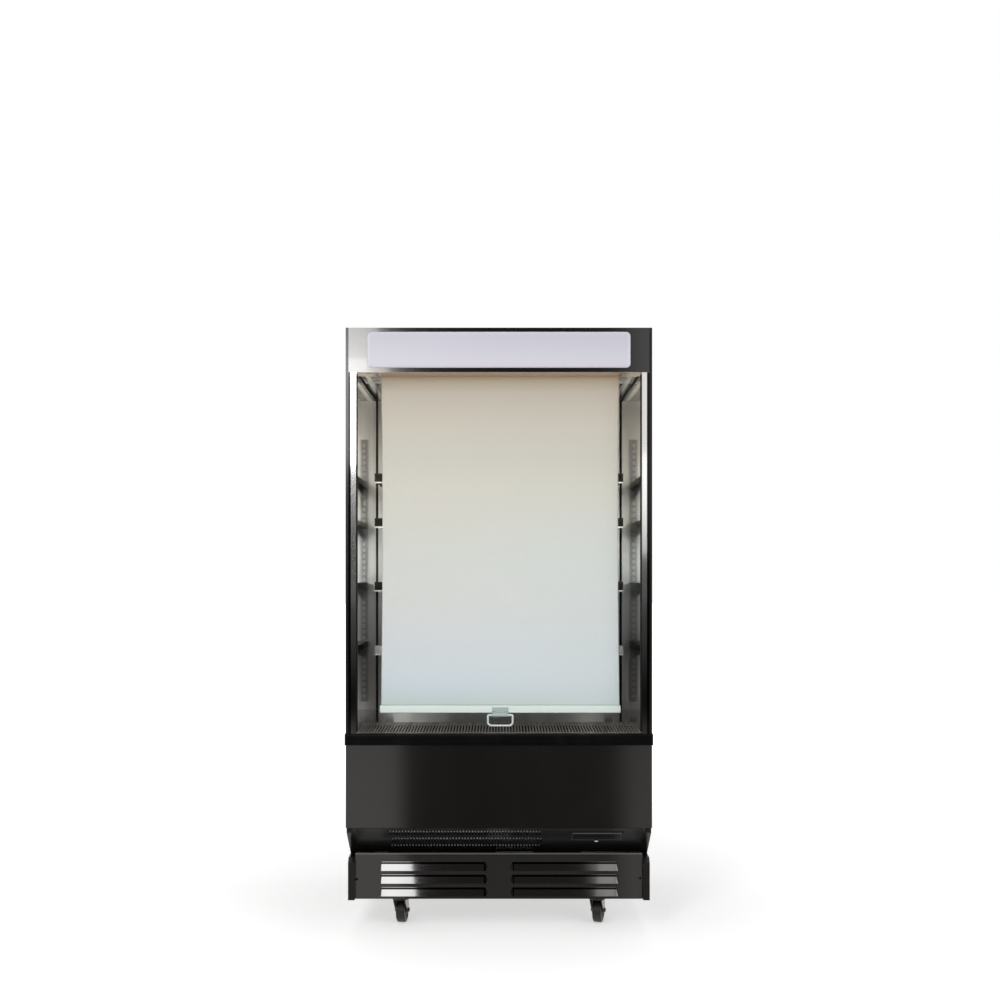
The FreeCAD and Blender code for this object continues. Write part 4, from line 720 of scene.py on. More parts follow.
def lathe(profile: Sequence[Pair], centre: Sequence[float], axis: Sequence[float],
          steps: int = 48, closed: bool = False) -> Shape:
    """Turn a profile of (radius, distance along) about an axis.

    point(i, t) = centre + axis * along[i] + radius[i] * (side * cos t + other * sin t)

    Args:
        profile: Radius and distance along the axis of each ring.
        centre: A point on the axis.
        axis: The axis's direction.
        steps: Points round each ring.
        closed: Whether the last ring joins the first.

    Returns:
        Points and faces. A ring of no radius closes as a fan.
    """
    along_axis = np.asarray(axis, float) / np.linalg.norm(axis)
    helper = np.array([0.0, 0.0, 1.0]) if abs(along_axis[2]) < 0.9 else np.array([1.0, 0.0, 0.0])
    side = np.cross(helper, along_axis)
    side /= np.linalg.norm(side)
    other = np.cross(along_axis, side)
    radius, along = np.asarray(profile, float).T
    turn = np.linspace(0.0, math.tau, steps, endpoint=False)
    ring = side * np.cos(turn)[:, None] + other * np.sin(turn)[:, None]
    points = (np.asarray(centre, float) + along_axis * along[:, None, None]
              + ring[None] * radius[:, None, None])
    faces = grid_faces(len(radius), steps, closed, True)
    return points.reshape(-1, 3), faces.tolist()


def dome(centre: Sequence[float], axis: Sequence[float], radius: float, height: float,
         steps: int = 16) -> Shape:
    """Head of a rivet or a screw: a quarter ellipse turned about its axis.

    radius(t) = radius * cos t, along(t) = height * sin t, for t from 0 to a quarter turn

    Args:
        centre: Middle of its foot.
        axis: The way it stands out.
        radius: Radius of its foot.
        height: How far it stands out.
        steps: Points round it.

    Returns:
        Points and faces.
    """
    bend = np.linspace(0.0, math.pi / 2, 6)
    rings = [(radius * max(math.cos(t), 0.04), height * math.sin(t)) for t in bend]
    points, faces = lathe([(radius, -0.0003), *rings], centre, axis, steps)
    last = len(points) - steps
    return points, [*faces, list(range(last, last + steps)), list(range(steps))[::-1]]


def rounded_route(corners: np.ndarray, radius: float, steps: int) -> np.ndarray:
    """Points along straight runs, each corner replaced by an arc.

    arc(t) = centre + radius * (cos t * out + sin t * along), from where it leaves one run to the next

    Args:
        corners: The runs' ends, one row each.
        radius: Radius of every arc.
        steps: Points on every arc.

    Returns:
        The points, from the first end to the last.
    """
    before, corner, after = corners[:-2], corners[1:-1], corners[2:]
    back = (before - corner) / np.linalg.norm(before - corner, axis=1)[:, None]
    on = (after - corner) / np.linalg.norm(after - corner, axis=1)[:, None]
    half = np.arccos(np.clip((back * on).sum(1), -1.0, 1.0)) / 2
    middle = (back + on) / np.linalg.norm(back + on, axis=1)[:, None]
    centre = corner + middle * (radius / np.sin(half))[:, None]
    along = (on - back) / np.linalg.norm(on - back, axis=1)[:, None]
    sweep = (math.pi / 2 - half)[:, None] * np.linspace(-1.0, 1.0, steps)
    arcs = centre[:, None] + radius * (-middle[:, None] * np.cos(sweep)[..., None]
                                       + along[:, None] * np.sin(sweep)[..., None])
    return np.concatenate([corners[:1], arcs.reshape(-1, corners.shape[1]), corners[-1:]])


def prism(low: Sequence[float], high: Sequence[float], bevel: float) -> Shape:
    """A straight strip with cut edges: an eight-sided outline carried along its longest side.

    Args:
        low: Its lowest corner.
        high: Its highest corner.
        bevel: Size of its cut edges.

    Returns:
        Points and faces.
    """
    low, high = np.asarray(low, float), np.asarray(high, float)
    run = int(np.argmax(high - low))
    first, second = [axis for axis in range(3) if axis != run]
    sides = [(0, 0, 1, 0), (1, 0, -1, 0), (1, 0, 0, 1), (1, 1, 0, -1), (1, 1, -1, 0), (0, 1, 1, 0),
             (0, 1, 0, -1), (0, 0, 0, 1)]
    points = np.zeros((2, 8, 3))
    for index, (a, b, da, db) in enumerate(sides):
        points[:, index, first] = (high if a else low)[first] + da * bevel
        points[:, index, second] = (high if b else low)[second] + db * bevel
    points[0, :, run], points[1, :, run] = low[run], high[run]
    faces = grid_faces(2, 8, False, True).tolist()
    return points.reshape(-1, 3), [*faces, list(range(8)), list(range(8, 16))[::-1]]


def rounded_outline(half_width: float, half_height: float, radius: float, steps: int = 8) -> np.ndarray:
    """Points of a rectangle with round corners, counter-clockwise about its middle.

    corner(t) = middle of the corner + radius * (cos t, sin t)

    Args:
        half_width: Half of its width.
        half_height: Half of its height.
        radius: Radius of its corners.
        steps: Points on each corner.

    Returns:
        An array of (across, up).
    """
    quarter = np.linspace(0.0, math.pi / 2, steps)
    corners = []
    for index, (sx, sy) in enumerate(((1, 1), (-1, 1), (-1, -1), (1, -1))):
        turn = quarter + index * math.pi / 2
        corners.append(np.stack([sx * (half_width - radius) + radius * np.cos(turn),
                                 sy * (half_height - radius) + radius * np.sin(turn)], axis=1))
    return np.concatenate(corners)


def capped_run(outline: np.ndarray, ends: Sequence[float]) -> Shape:
    """A closed outline of (y, z) carried straight along X and closed at both ends.

    Args:
        outline: Its points, one row each.
        ends: Where it starts and stops on X.

    Returns:
        Points and faces.
    """
    points = np.concatenate([np.insert(outline, 0, x, axis=1) for x in ends])
    count = len(outline)
    faces = grid_faces(2, count, False, True).tolist()
    return points, [*faces, list(range(count)), list(range(count, 2 * count))[::-1]]


# ---------------------------------------------------------------- finishes of this fridge

GLOSS_BLACK = Paint("gloss_black_panel", (0.006, 0.0052, 0.0046), (0.02, 0.0175, 0.0155), 0.12, 0.06,
                    specular=0.8, coat=0.8)
SIDE_BLACK = Paint("side_panel_black", (0.0085, 0.0078, 0.0072), (0.028, 0.026, 0.025), 0.16, 0.1,
                   specular=0.35)
# Its underside is tinted warm: painted bounce light and a painted reflection of the cloth.
CANOPY_BLACK = BounceLitPaint("canopy_black", (0.004, 0.0037, 0.004), (0.009, 0.0085, 0.0087), 0.12, 0.04,
                           specular=0.75, coat=0.35)
# Painted shade on the louvres and a painted highlight on the top bend.
KICK_BLACK = PressedPaint("kick_plate_enamel", (0.005, 0.0042, 0.0036), (0.014, 0.012, 0.0105), 0.05, 0.02,
                          specular=1.0, coat=0.8)
VENT_BLACK = Paint("vent_panel_enamel", (0.0065, 0.0065, 0.007), (0.018, 0.018, 0.018), 0.24, 0.1)
MIRROR_STEEL = Steel("mirror_lining_steel", (0.86, 0.85, 0.83), (0.7, 0.69, 0.67), 0.07, streak=0.04,
                     dent=2.2e-4)
DECK_STEEL = Steel("deck_polished_steel", (0.7, 0.675, 0.65), (0.62, 0.6, 0.575), 0.16,
                   grain=(1.0, 0.02, 1.0), grain_depth=4e-7, streak=0.05, dent=2e-5)
CEILING_STEEL = Steel("ceiling_steel", (0.15, 0.148, 0.145), (0.09, 0.088, 0.086), 0.2,
                      grain=(0.02, 1.0, 1.0))
DUCT_STEEL = Steel("duct_steel", (0.76, 0.755, 0.745), (0.71, 0.705, 0.695), 0.36, streak=0.06,
                   grain_depth=4e-7, dent=2e-5, metallic=0.8)
GRILLE_STEEL = Steel("return_grille_steel", (0.62, 0.57, 0.52), (0.44, 0.4, 0.37), 0.3,
                     grain=(1.0, 0.02, 1.0), streak=0.16, metallic=0.7)
# Painted shade: the trims darken towards the deck and turn black in the shadow gap beyond their fold.
BRIGHT_TRIM = EdgedSteel("bright_front_trim", (0.88, 0.87, 0.86), (0.72, 0.71, 0.71), 0.07, streak=0.03,
                         grain_depth=2e-7, dent=6e-6)
COATED_PANEL = Paint("coated_insulated_panel", (0.55, 0.55, 0.54), (0.42, 0.42, 0.4), 0.42, 0.12,
                     peel=500.0, peel_depth=2e-5)
DARK_COATING = Paint("tub_dark_coating", (0.03, 0.03, 0.031), (0.05, 0.05, 0.05), 0.5, 0.12)
GASKET = Moulding("corner_gasket", (0.01, 0.01, 0.01), (0.025, 0.025, 0.025), 0.6)
GALVANISED = Zinc("galvanised_sheet", (0.5, 0.51, 0.52), (0.3, 0.31, 0.33))
BRACKET_ZINC = Zinc("bracket_zinc", (0.42, 0.42, 0.42), (0.26, 0.26, 0.27), 0.42, 320.0)
BUMPER_RUBBER = Moulding("bumper_rubber", (0.0035, 0.0035, 0.0037), (0.009, 0.0088, 0.0085), 0.3, depth=1e-6,
                         specular=0.06)
LAMP_WHITE = Moulding("lamp_white", (0.85, 0.85, 0.83), (0.75, 0.75, 0.72), 0.5)
SHELF_PAINT = Paint("shelf_enamel", (0.07, 0.066, 0.062), (0.13, 0.125, 0.12), 0.36, 0.12, peel=700.0,
                    peel_depth=8e-6)
RAIL_DARK = Moulding("price_rail_dark", (0.024, 0.02, 0.018), (0.05, 0.044, 0.04), 0.34)
RAIL_WHITE = Moulding("price_rail_white", (0.8, 0.8, 0.78), (0.66, 0.65, 0.62), 0.4)
OUTLET_PLASTIC = Moulding("air_outlet_plastic", (0.72, 0.72, 0.7), (0.58, 0.57, 0.54), 0.5)
CURTAIN_METAL = Paint("curtain_rail_enamel", (0.8, 0.89, 0.85), (0.68, 0.76, 0.73), 0.34, 0.12)
HANDLE_STEEL = Steel("handle_steel", (0.46, 0.53, 0.53), (0.4, 0.47, 0.47), 0.42, grain=(0.04, 1.0, 1.0),
                     metallic=0.15)
WIRE_STEEL = Steel("bail_wire_steel", (0.8, 0.94, 0.91), (0.7, 0.82, 0.79), 0.34, metallic=0.2)
RIVET_STEEL = Steel("rivet_steel", (0.8, 0.82, 0.79), (0.7, 0.72, 0.69), 0.3, metallic=0.2)
WASHER_STEEL = Steel("rivet_washer_steel", (0.3, 0.34, 0.34), (0.2, 0.23, 0.23), 0.4)
BRACKET_BLACK = Paint("roller_bracket_black", (0.014, 0.014, 0.014), (0.04, 0.04, 0.04), 0.4, 0.12)
FLAP_PLASTIC = Bordered("control_flap_plastic", (0.01, 0.01, 0.011), (0.02, 0.02, 0.021), 0.16,
                        depth=2e-6, specular=0.3)
CONTROLLER_PLASTIC = Moulding("controller_plastic", (0.03, 0.03, 0.033), (0.06, 0.06, 0.062), 0.5)
KNOB_WHITE = Moulding("flap_knob_white", (0.85, 0.86, 0.88), (0.75, 0.75, 0.75), 0.35)
KEY_PLASTIC = Moulding("key_plastic", (0.4, 0.4, 0.42), (0.3, 0.3, 0.31), 0.4)
CASTER_STEEL = Zinc("caster_black_zinc", (0.09, 0.088, 0.085), (0.04, 0.039, 0.038), 0.3, 420.0)
WHEEL_RUBBER = Moulding("wheel_rubber", (0.012, 0.012, 0.012), (0.045, 0.043, 0.04), 0.5, 900.0, 3e-5)
# Near-black coils: painted shade for the dark space behind the vent slots; the coils themselves are
# aluminium.
SHADED_COIL = Steel("coil_painted_shade", (0.06, 0.058, 0.055), (0.03, 0.029, 0.028), 0.6,
                   grain=(12.0, 0.2, 0.2), grain_depth=2e-5)
BLACK_SCREW = Steel("black_oxide_screw", (0.03, 0.03, 0.03), (0.015, 0.015, 0.015), 0.35)
FAN_PLASTIC = Moulding("fan_plastic", (0.02, 0.02, 0.02), (0.045, 0.045, 0.045), 0.42)
COMPRESSOR_BLACK = Paint("compressor_enamel", (0.012, 0.012, 0.012), (0.05, 0.048, 0.045), 0.35, 0.14)
BRIGHT_STRIP = Steel("bright_ceiling_strip", (0.85, 0.84, 0.83), (0.7, 0.69, 0.68), 0.2, streak=0.06)
# Pale bars behind the vent slots: painted highlights in place of the glints on the slots' edges.
GLINT_STEEL = Steel("vent_glint_steel", (0.48, 0.485, 0.49), (0.38, 0.385, 0.39), 0.4, metallic=0.2)
FASTENER_STEEL = Steel("fastener_steel", (0.62, 0.62, 0.61), (0.45, 0.45, 0.44), 0.26)
# The sign's paler rim and rosy foot are painted highlights.
SIGN_OPAL = Opal("sign_opal", (0.525, 0.515, 0.58), (0.64, 0.625, 0.69), (0.58, 0.5, 0.57),
                 half_width=0.3865, low=1.682, high=1.788, glow=0.05)
# The cloth's stops, low to high, are painted light: cool below, tan shade under the canopy, a warm lift at
# the roller.
CLOTH = Fabric("curtain_cloth", low=0.68, high=1.68, shades=(
    (0.0, (0.591, 0.693, 0.682)), (0.022, (0.626, 0.721, 0.73)), (0.043, (0.656, 0.747, 0.783)),
    (0.073, (0.692, 0.767, 0.825)), (0.118, (0.708, 0.779, 0.806)), (0.208, (0.722, 0.762, 0.78)),
    (0.328, (0.732, 0.748, 0.726)), (0.448, (0.713, 0.738, 0.694)), (0.568, (0.712, 0.705, 0.645)),
    (0.66, (0.701, 0.686, 0.602)), (0.75, (0.651, 0.636, 0.561)), (0.825, (0.648, 0.617, 0.532)),
    (0.885, (0.613, 0.572, 0.486)), (0.93, (0.582, 0.533, 0.451)), (0.957, (0.605, 0.54, 0.443)),
    (0.97, (0.674, 0.589, 0.466)), (0.981, (0.78, 0.629, 0.453)), (0.99, (0.851, 0.642, 0.422)),
    (1.0, (0.84, 0.607, 0.372))), cool=(0.715, 0.78, 0.78), shadow=(0.36, 0.36, 0.33))

NODE_FINISHES: dict[Finish, tuple[str, ...]] = {
    SIDE_BLACK: ("side_panel_left", "side_panel_right"),
    CANOPY_BLACK: ("canopy_fascia",),
    GLOSS_BLACK: ("lower_front_cover",),
    KICK_BLACK: ("kick_plate",),
    VENT_BLACK: ("vent_panel",),
    MIRROR_STEEL: ("liner_left", "liner_right"),
    DECK_STEEL: ("deck_pan",),
    CEILING_STEEL: ("ceiling_panel",),
    DUCT_STEEL: ("duct_panel",),
    GRILLE_STEEL: ("return_grille",),
    BRIGHT_TRIM: ("front_trim_left", "front_trim_right"),
    COATED_PANEL: ("back_panel", "roof_panel"),
    DARK_COATING: ("tub",),
    GALVANISED: ("base_tray", "rear_grille", "fan_shroud"),
    BRACKET_ZINC: ("shelf_brackets", "shelf_uprights"),
    BUMPER_RUBBER: ("bumper",),
    SIGN_OPAL: ("sign_lens",),
    LAMP_WHITE: ("sign_lamp",),
    SHELF_PAINT: ("shelf_1", "shelf_2", "shelf_3", "shelf_4"),
    RAIL_DARK: ("price_rail_1", "price_rail_2", "price_rail_3"),
    RAIL_WHITE: ("price_rail_4",),
    OUTLET_PLASTIC: ("air_outlet",),
    CURTAIN_METAL: ("curtain_bottom_rail", "curtain_roller"),
    CLOTH: ("curtain_fabric",),
    HANDLE_STEEL: ("handle_plate", "handle_bail"),
    BRACKET_BLACK: ("roller_brackets",),
    FLAP_PLASTIC: ("control_flap",),
    CONTROLLER_PLASTIC: ("thermostat",),
    KEY_PLASTIC: ("key_down", "key_up", "key_set", "light_switch"),
    CASTER_STEEL: ("caster_plates", "caster_fork_front_left", "caster_fork_front_right",
                   "caster_fork_rear_left", "caster_fork_rear_right"),
    WHEEL_RUBBER: ("caster_wheel_front_left", "caster_wheel_front_right", "caster_wheel_rear_left",
                   "caster_wheel_rear_right"),
    SHADED_COIL: ("condenser", "evaporator"),
    FAN_PLASTIC: ("condenser_fan", "evaporator_fan"),
    COMPRESSOR_BLACK: ("compressor",),
}


# ---------------------------------------------------------------- sub-assemblies


@dataclass
class NightCurtain:
    """The cloth, what is wound on the roller, the rivets of the handle plate and its wire bail.

    Its ripples are (height, waves across, waves down, start), and the curl bends the side edges back. Wound
    holds the least and the most that the wound layer adds to the roller's radius. A rivet and a washer are
    the radius of the foot and the height.
    """

    shift: float = 0.004
    half_width: float = 0.358
    waist: float = 0.004
    ripples: tuple[tuple[float, float, float, float], ...] = (
        (0.0007, 7.1, 2.0, 0.0), (0.0004, 17.0, -3.0, 1.0))
    curl: float = 0.0011
    curl_power: int = 9
    slack: float = 0.6
    face: float = -0.269
    thickness: float = 0.0008
    low: float = 0.6826
    roller_y: float = -0.2479
    roller_z: float = 1.712
    roller_radius: float = 0.02
    roller_half: float = 0.354
    wound: Pair = (0.00006, 0.00022)
    wound_edge: float = 0.0002
    travel: float = 0.977
    plate_front: float = -0.27535
    rivet_places: Pair = (-0.019, 0.0168)
    rivet_height: float = 0.6672
    rivet: Pair = (0.0024, 0.0012)
    washer: Pair = (0.0036, 0.0003)
    wire: float = 0.003
    bail_half: float = 0.04
    bail_drop: float = 0.034
    bail_corner: float = 0.007
    bail_stub: float = 0.0125
    bail_y: float = -0.2786
    bail_z: float = 0.654
    columns: int = 150
    rows: int = 200

    def build(self) -> None:
        """Make the cloth, the wound layer, the rivets and the bail."""
        self.hang_cloth()
        self.wind_roller()
        self.rivet_handle()
        self.bend_bail()

    def bend_bail(self) -> None:
        """The wire bail: a ring of radius wire carried along straight runs joined by bends.

        point(i, t) = path[i] + wire * (side[i] * cos t + Y * sin t), side square to path and to Y
        """
        half, foot = self.bail_half - self.wire, self.wire - self.bail_drop
        corners = [(self.bail_stub, 0.0), (half, 0.0), (half, foot + self.bail_corner),
                   (half - self.bail_corner, foot), (self.bail_corner - half, foot),
                   (-half, foot + self.bail_corner), (-half, 0.0), (-self.bail_stub, 0.0)]
        path = rounded_route(np.array(corners), self.wire, 6)
        ahead = np.gradient(path, axis=0)
        ahead /= np.linalg.norm(ahead, axis=1)[:, None]
        side = np.stack([ahead[:, 1], np.zeros(len(path)), -ahead[:, 0]], axis=1)
        turn = np.linspace(0.0, math.tau, 20, endpoint=False)
        middle = np.stack([path[:, 0] + self.shift, np.full(len(path), self.bail_y),
                           path[:, 1] + self.bail_z], axis=1)
        ring = side[:, None] * np.cos(turn)[:, None] + np.array([0.0, 1.0, 0.0]) * np.sin(turn)[:, None]
        faces = grid_faces(len(path), len(turn), False, True).tolist()
        last = (len(path) - 1) * len(turn)
        faces += [list(range(len(turn))), list(range(last, last + len(turn)))[::-1]]
        bail = piece("bail_wire", middle[:, None] + self.wire * ring, faces, WIRE_STEEL, "handle_bail",
                     "handle_steel")
        turn_outwards(bail)
        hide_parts("handle_bail")

    def hang_cloth(self) -> None:
        """The hanging cloth, waisted and a little rippled.

        half(v) = half_width - waist * sin(pi v)
        ripple(u, v) = sum of height * sin(across * u + down * v + start), plus curl * |u| ** curl_power
        y(u, v) = face + thickness / 2 + ripple * sin(pi v) ** slack, so it dies out at roller and rail
        """
        u = np.linspace(-1.0, 1.0, self.columns)[None, :]
        v = np.linspace(0.0, 1.0, self.rows)[:, None]
        half = self.half_width - self.waist * np.sin(math.pi * v)
        free = np.sin(math.pi * v) ** self.slack
        ripple = sum(height * np.sin(across * u + down * v + start)
                     for height, across, down, start in self.ripples)
        ripple = ripple + self.curl * np.abs(u) ** self.curl_power
        x = self.shift + half * u
        y = self.face + self.thickness / 2 + free * ripple
        z = self.roller_z + (self.low - self.roller_z) * v + 0 * u
        points = np.stack([x, np.broadcast_to(y, x.shape), z], axis=-1)
        cloth = piece("curtain_cloth", points, grid_faces(self.rows, self.columns), CLOTH, "cabinet",
                      "curtain_fabric")
        wall = cloth.modifiers.new("wall", "SOLIDIFY")
        wall.thickness = self.thickness
        wall.offset = 0.0
        apply_modifiers(cloth)
        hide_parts("curtain_fabric")
        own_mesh(cloth)

    def wind_roller(self) -> None:
        """The layer of cloth on the roller, closed at both ends."""
        inner, outer = (self.roller_radius + layer for layer in self.wound)
        half = self.roller_half
        profile = [(inner, -half), (outer, -half + self.wound_edge), (outer, half - self.wound_edge),
                   (inner, half)]
        wound = lathe(profile, (self.shift, self.roller_y, self.roller_z), (1, 0, 0), 64, True)
        piece("curtain_wound", *wound, CLOTH, "curtain_roller", "curtain_fabric")

    def rivet_handle(self) -> None:
        """Two round rivets through the handle plate, each on a washer."""
        places = [(x + self.shift, self.plate_front, self.rivet_height) for x in self.rivet_places]
        for name, head, finish in (("rivet_washers", self.washer, WASHER_STEEL),
                                   ("handle_rivets", self.rivet, RIVET_STEEL)):
            heads = merge([dome(place, (0, -1, 0), *head) for place in places])
            piece(name, *heads, finish, "curtain_bar", "handle_steel")


@dataclass
class Sign:
    """The sign's opal face with its softened rim."""

    half_width: float = 0.3863
    low: float = 1.68225
    high: float = 1.78775
    corner: float = 0.01275
    back: float = -0.3415
    front: float = -0.3455
    soft: float = 0.0016

    def build(self) -> None:
        """Rings of one rounded outline, drawn in as they come forward.

        ring(t): inset = soft * (1 - cos t), y = front + soft * (1 - sin t), t to a quarter turn
        """
        middle, half_height = (self.low + self.high) / 2, (self.high - self.low) / 2
        bend = np.linspace(0.0, math.pi / 2, 5)
        rings = [(self.soft * (1 - math.cos(t)), self.front + self.soft * (1 - math.sin(t))) for t in bend]
        points = []
        for inset, y in [(0.0, self.back), *rings]:
            flat = rounded_outline(self.half_width - inset, half_height - inset, self.corner - inset)
            points.append(np.stack([flat[:, 0], np.full(len(flat), y), flat[:, 1] + middle], axis=1))
        count = len(points[0])
        faces = grid_faces(len(points), count, False, True)[:, ::-1].tolist()
        last = (len(points) - 1) * count
        faces += [list(range(last, last + count)), list(range(count))[::-1]]
        lens = piece("sign_face", np.array(points), faces, SIGN_OPAL, "cabinet", "sign_acrylic")
        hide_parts("sign_lens")
        turn_outwards(lens)


@dataclass
class Fasteners:
    """Screws of the kick plate and the back panel, and the pin under the canopy.

    A head is the radius of its foot and its height. The back panel's heads are sunk, and end 0.1 mm under
    its face.
    """

    kick_face: float = -0.279
    kick_head: Pair = (0.0042, 0.0019)
    kick_places: tuple[Pair, ...] = ((-0.4255, 0.163), (0.4225, 0.166))
    pin_place: Place = (0.3598, -0.3415, 1.6692)
    pin_head: Pair = (0.003, 0.0016)
    back: float = 0.3482
    back_head: Pair = (0.0045, 0.0017)
    back_clear: float = 0.3
    back_rows: tuple[float, ...] = (0.43, 0.75, 1.08, 1.41, 1.73)
    back_columns: tuple[float, ...] = (-0.415, -0.14, 0.14, 0.415)

    def build(self) -> None:
        """Make the two groups of screws and the pin."""
        kick = [dome((x, self.kick_face, z), (0, -1, 0), *self.kick_head) for x, z in self.kick_places]
        piece("kick_plate_screws", *merge(kick), BLACK_SCREW, "cabinet", "gloss_black")
        piece("canopy_pin", *dome(self.pin_place, (0, 0, -1), *self.pin_head), FASTENER_STEEL, "cabinet",
              "gloss_black")
        places = [(x, z) for z in self.back_rows for x in self.back_columns
                  if z in (self.back_rows[0], self.back_rows[-1]) or abs(x) > self.back_clear]
        heads = [dome((x, self.back, z), (0, 1, 0), *self.back_head) for x, z in places]
        piece("back_panel_screws", *merge(heads), FASTENER_STEEL, "cabinet", "insulated_panel")


@dataclass
class VentBars:
    """Pale bars that cross behind the slots of the vent panel: painted highlights that stand in for the
    glints on the slots' edges.
    """

    top: Pair = (-0.344, 0.331)
    rows: tuple[float, ...] = (0.024, 0.065, 0.106)
    width: float = 0.008
    near: float = 0.0017
    far: float = 0.0025
    ends: Pair = (-0.326, 0.129)

    def build(self) -> None:
        """One flat bar behind each row of slots: outline = top + down * (place + along) + inward * depth."""
        top, down, inward = np.array(self.top), -np.array(UP_SLANT), np.array(INTO_SLANT)
        half = self.width / 2
        section = ((-half, self.near), (half, self.near), (half, self.far), (-half, self.far))
        outlines = [[top + down * (place + along) + inward * depth for along, depth in section]
                    for place in self.rows]
        bars = [capped_run(np.array(outline), self.ends) for outline in outlines]
        turn_outwards(piece("vent_glint_bars", *merge(bars), GLINT_STEEL, "cabinet", "rail_white"))


@dataclass
class LabelStrips:
    """The strips held in the channels of the price rails."""

    half_width: float = 0.388
    rail_back: float = -0.12225
    wall: float = 0.0015
    lip: float = 0.003
    height: float = 0.026
    play: float = 0.0004
    gap: float = 0.0006
    bow: float = 0.0012
    thickness: float = 0.0004

    def build(self) -> None:
        """One bowed strip in each rail: y(t) = back - bow * sin(pi t), z(t) along the channel."""
        t = np.linspace(0.0, 1.0, 9)
        for number, top in enumerate(RAIL_TOPS, start=1):
            high = top + self.lip - self.wall - self.play
            low = top + self.lip - self.height + self.wall + self.play
            y = self.rail_back - self.wall - self.gap - self.bow * np.sin(math.pi * t)
            z = low + (high - low) * t
            outline = np.concatenate([np.stack([y, z], 1), np.stack([y + self.thickness, z], 1)[::-1]])
            run = capped_run(outline, (-self.half_width, self.half_width))
            lowest = number == len(RAIL_TOPS)
            finish, slot = (RAIL_WHITE, "rail_white") if lowest else (RAIL_DARK, "rail_dark")
            turn_outwards(piece(f"label_strip_{number}", *run, finish, "cabinet", slot))


@dataclass
class InnerTrim:
    """Gaskets and bright strips along the corners of the chamber, and the pale lips of the price rails.

    A run holds how far a strip's two sides are from the liner or from the front. A drop is measured down
    from the ceiling or from a rail's top, and a depth forward from a rail's back.
    """

    liner: float = 0.4198
    ceiling: float = 1.6748
    front: float = -0.3
    duct: float = 0.2158
    deck: float = 0.6115
    rail_back: float = -0.1226
    half_rail: float = 0.3895
    bevel: float = 0.0006
    top_seal: float = 0.004
    duct_seal: float = 0.0035
    front_seal: float = 0.0026
    front_seal_run: Pair = (0.0275, 0.0215)
    front_seal_drop: float = 0.0075
    strip_run: Pair = (0.03, 0.014)
    strip_start: float = 0.01
    strip_drop: float = 0.0016
    lip_depth: Pair = (0.0042, 0.0004)
    lip_drop: Pair = (0.0272, 0.0231)

    def build(self) -> None:
        """Make the gaskets, the bright strips and the rails' pale lips."""
        liner, duct, ceiling, deck = self.liner, self.duct, self.ceiling, self.deck
        under = ceiling - self.top_seal
        sealed = (((liner - self.top_seal, self.front, under), (liner, duct, ceiling)),
                  ((liner - self.duct_seal, duct - self.duct_seal, deck), (liner, duct, under)),
                  ((liner - self.front_seal, self.front - self.front_seal_run[0], deck),
                   (liner, self.front - self.front_seal_run[1], ceiling - self.front_seal_drop)))
        bright = ((liner - self.strip_run[0], self.front + self.strip_start, ceiling - self.strip_drop),
                  (liner - self.strip_run[1], duct, ceiling))
        seals = [self.strip(side, *corners) for side in (-1.0, 1.0) for corners in sealed]
        strips = [self.strip(side, *bright) for side in (-1.0, 1.0)]
        for name, group, finish, slot in (("chamber_gaskets", seals, GASKET, "bumper_rubber"),
                                          ("ceiling_strips", strips, BRIGHT_STRIP, "bright_trim")):
            turn_outwards(piece(name, *merge(group), finish, "cabinet", slot, False))
        back, front = (self.rail_back - depth for depth in self.lip_depth)
        lips = [prism((-self.half_rail, back, top - self.lip_drop[0]),
                      (self.half_rail, front, top - self.lip_drop[1]), self.bevel) for top in RAIL_TOPS]
        turn_outwards(piece("price_rail_lips", *merge(lips), RAIL_WHITE, "cabinet", "rail_white", False))

    def strip(self, side: float, low: Sequence[float], high: Sequence[float]) -> Shape:
        """A strip on the right, or its mirror image on the left.

        Args:
            side: 1 for the right, -1 for the left.
            low: Its lowest corner on the right.
            high: Its highest corner on the right.

        Returns:
            Points and faces.
        """
        points, faces = prism(low, high, self.bevel)
        return points * np.array([side, 1.0, 1.0]), faces


@dataclass
class FlapKnob:
    """Oval bright cap on the tip of the control flap's knob."""

    out: Place = (0.0, -INTO_SLANT[0], -INTO_SLANT[1])
    radius: float = 0.0034
    height: float = 0.0008
    stretch: float = 1.6
    tip_depth: float = 0.0002

    def build(self) -> None:
        """Find the knob's tip, which stands furthest out of the slanted panel, and cap it."""
        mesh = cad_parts["control_flap"].data
        points = np.empty(len(mesh.vertices) * 3)
        mesh.vertices.foreach_get("co", points)
        points = points.reshape(-1, 3)
        reach = points @ np.array(self.out)
        tip = points[reach > reach.max() - self.tip_depth].mean(axis=0)
        cap, faces = dome(tip, self.out, self.radius, self.height, 24)
        cap[:, 0] = tip[0] + (cap[:, 0] - tip[0]) * self.stretch
        piece("flap_knob_cap", cap, faces, KNOB_WHITE, "control_flap", "flap_dark")


class Corner(Enum):
    """The four casters, with the angle each is turned by."""

    FRONT_LEFT = ("front_left", -7.0)
    FRONT_RIGHT = ("front_right", -15.0)
    REAR_LEFT = ("rear_left", 0.0)
    REAR_RIGHT = ("rear_right", 0.0)


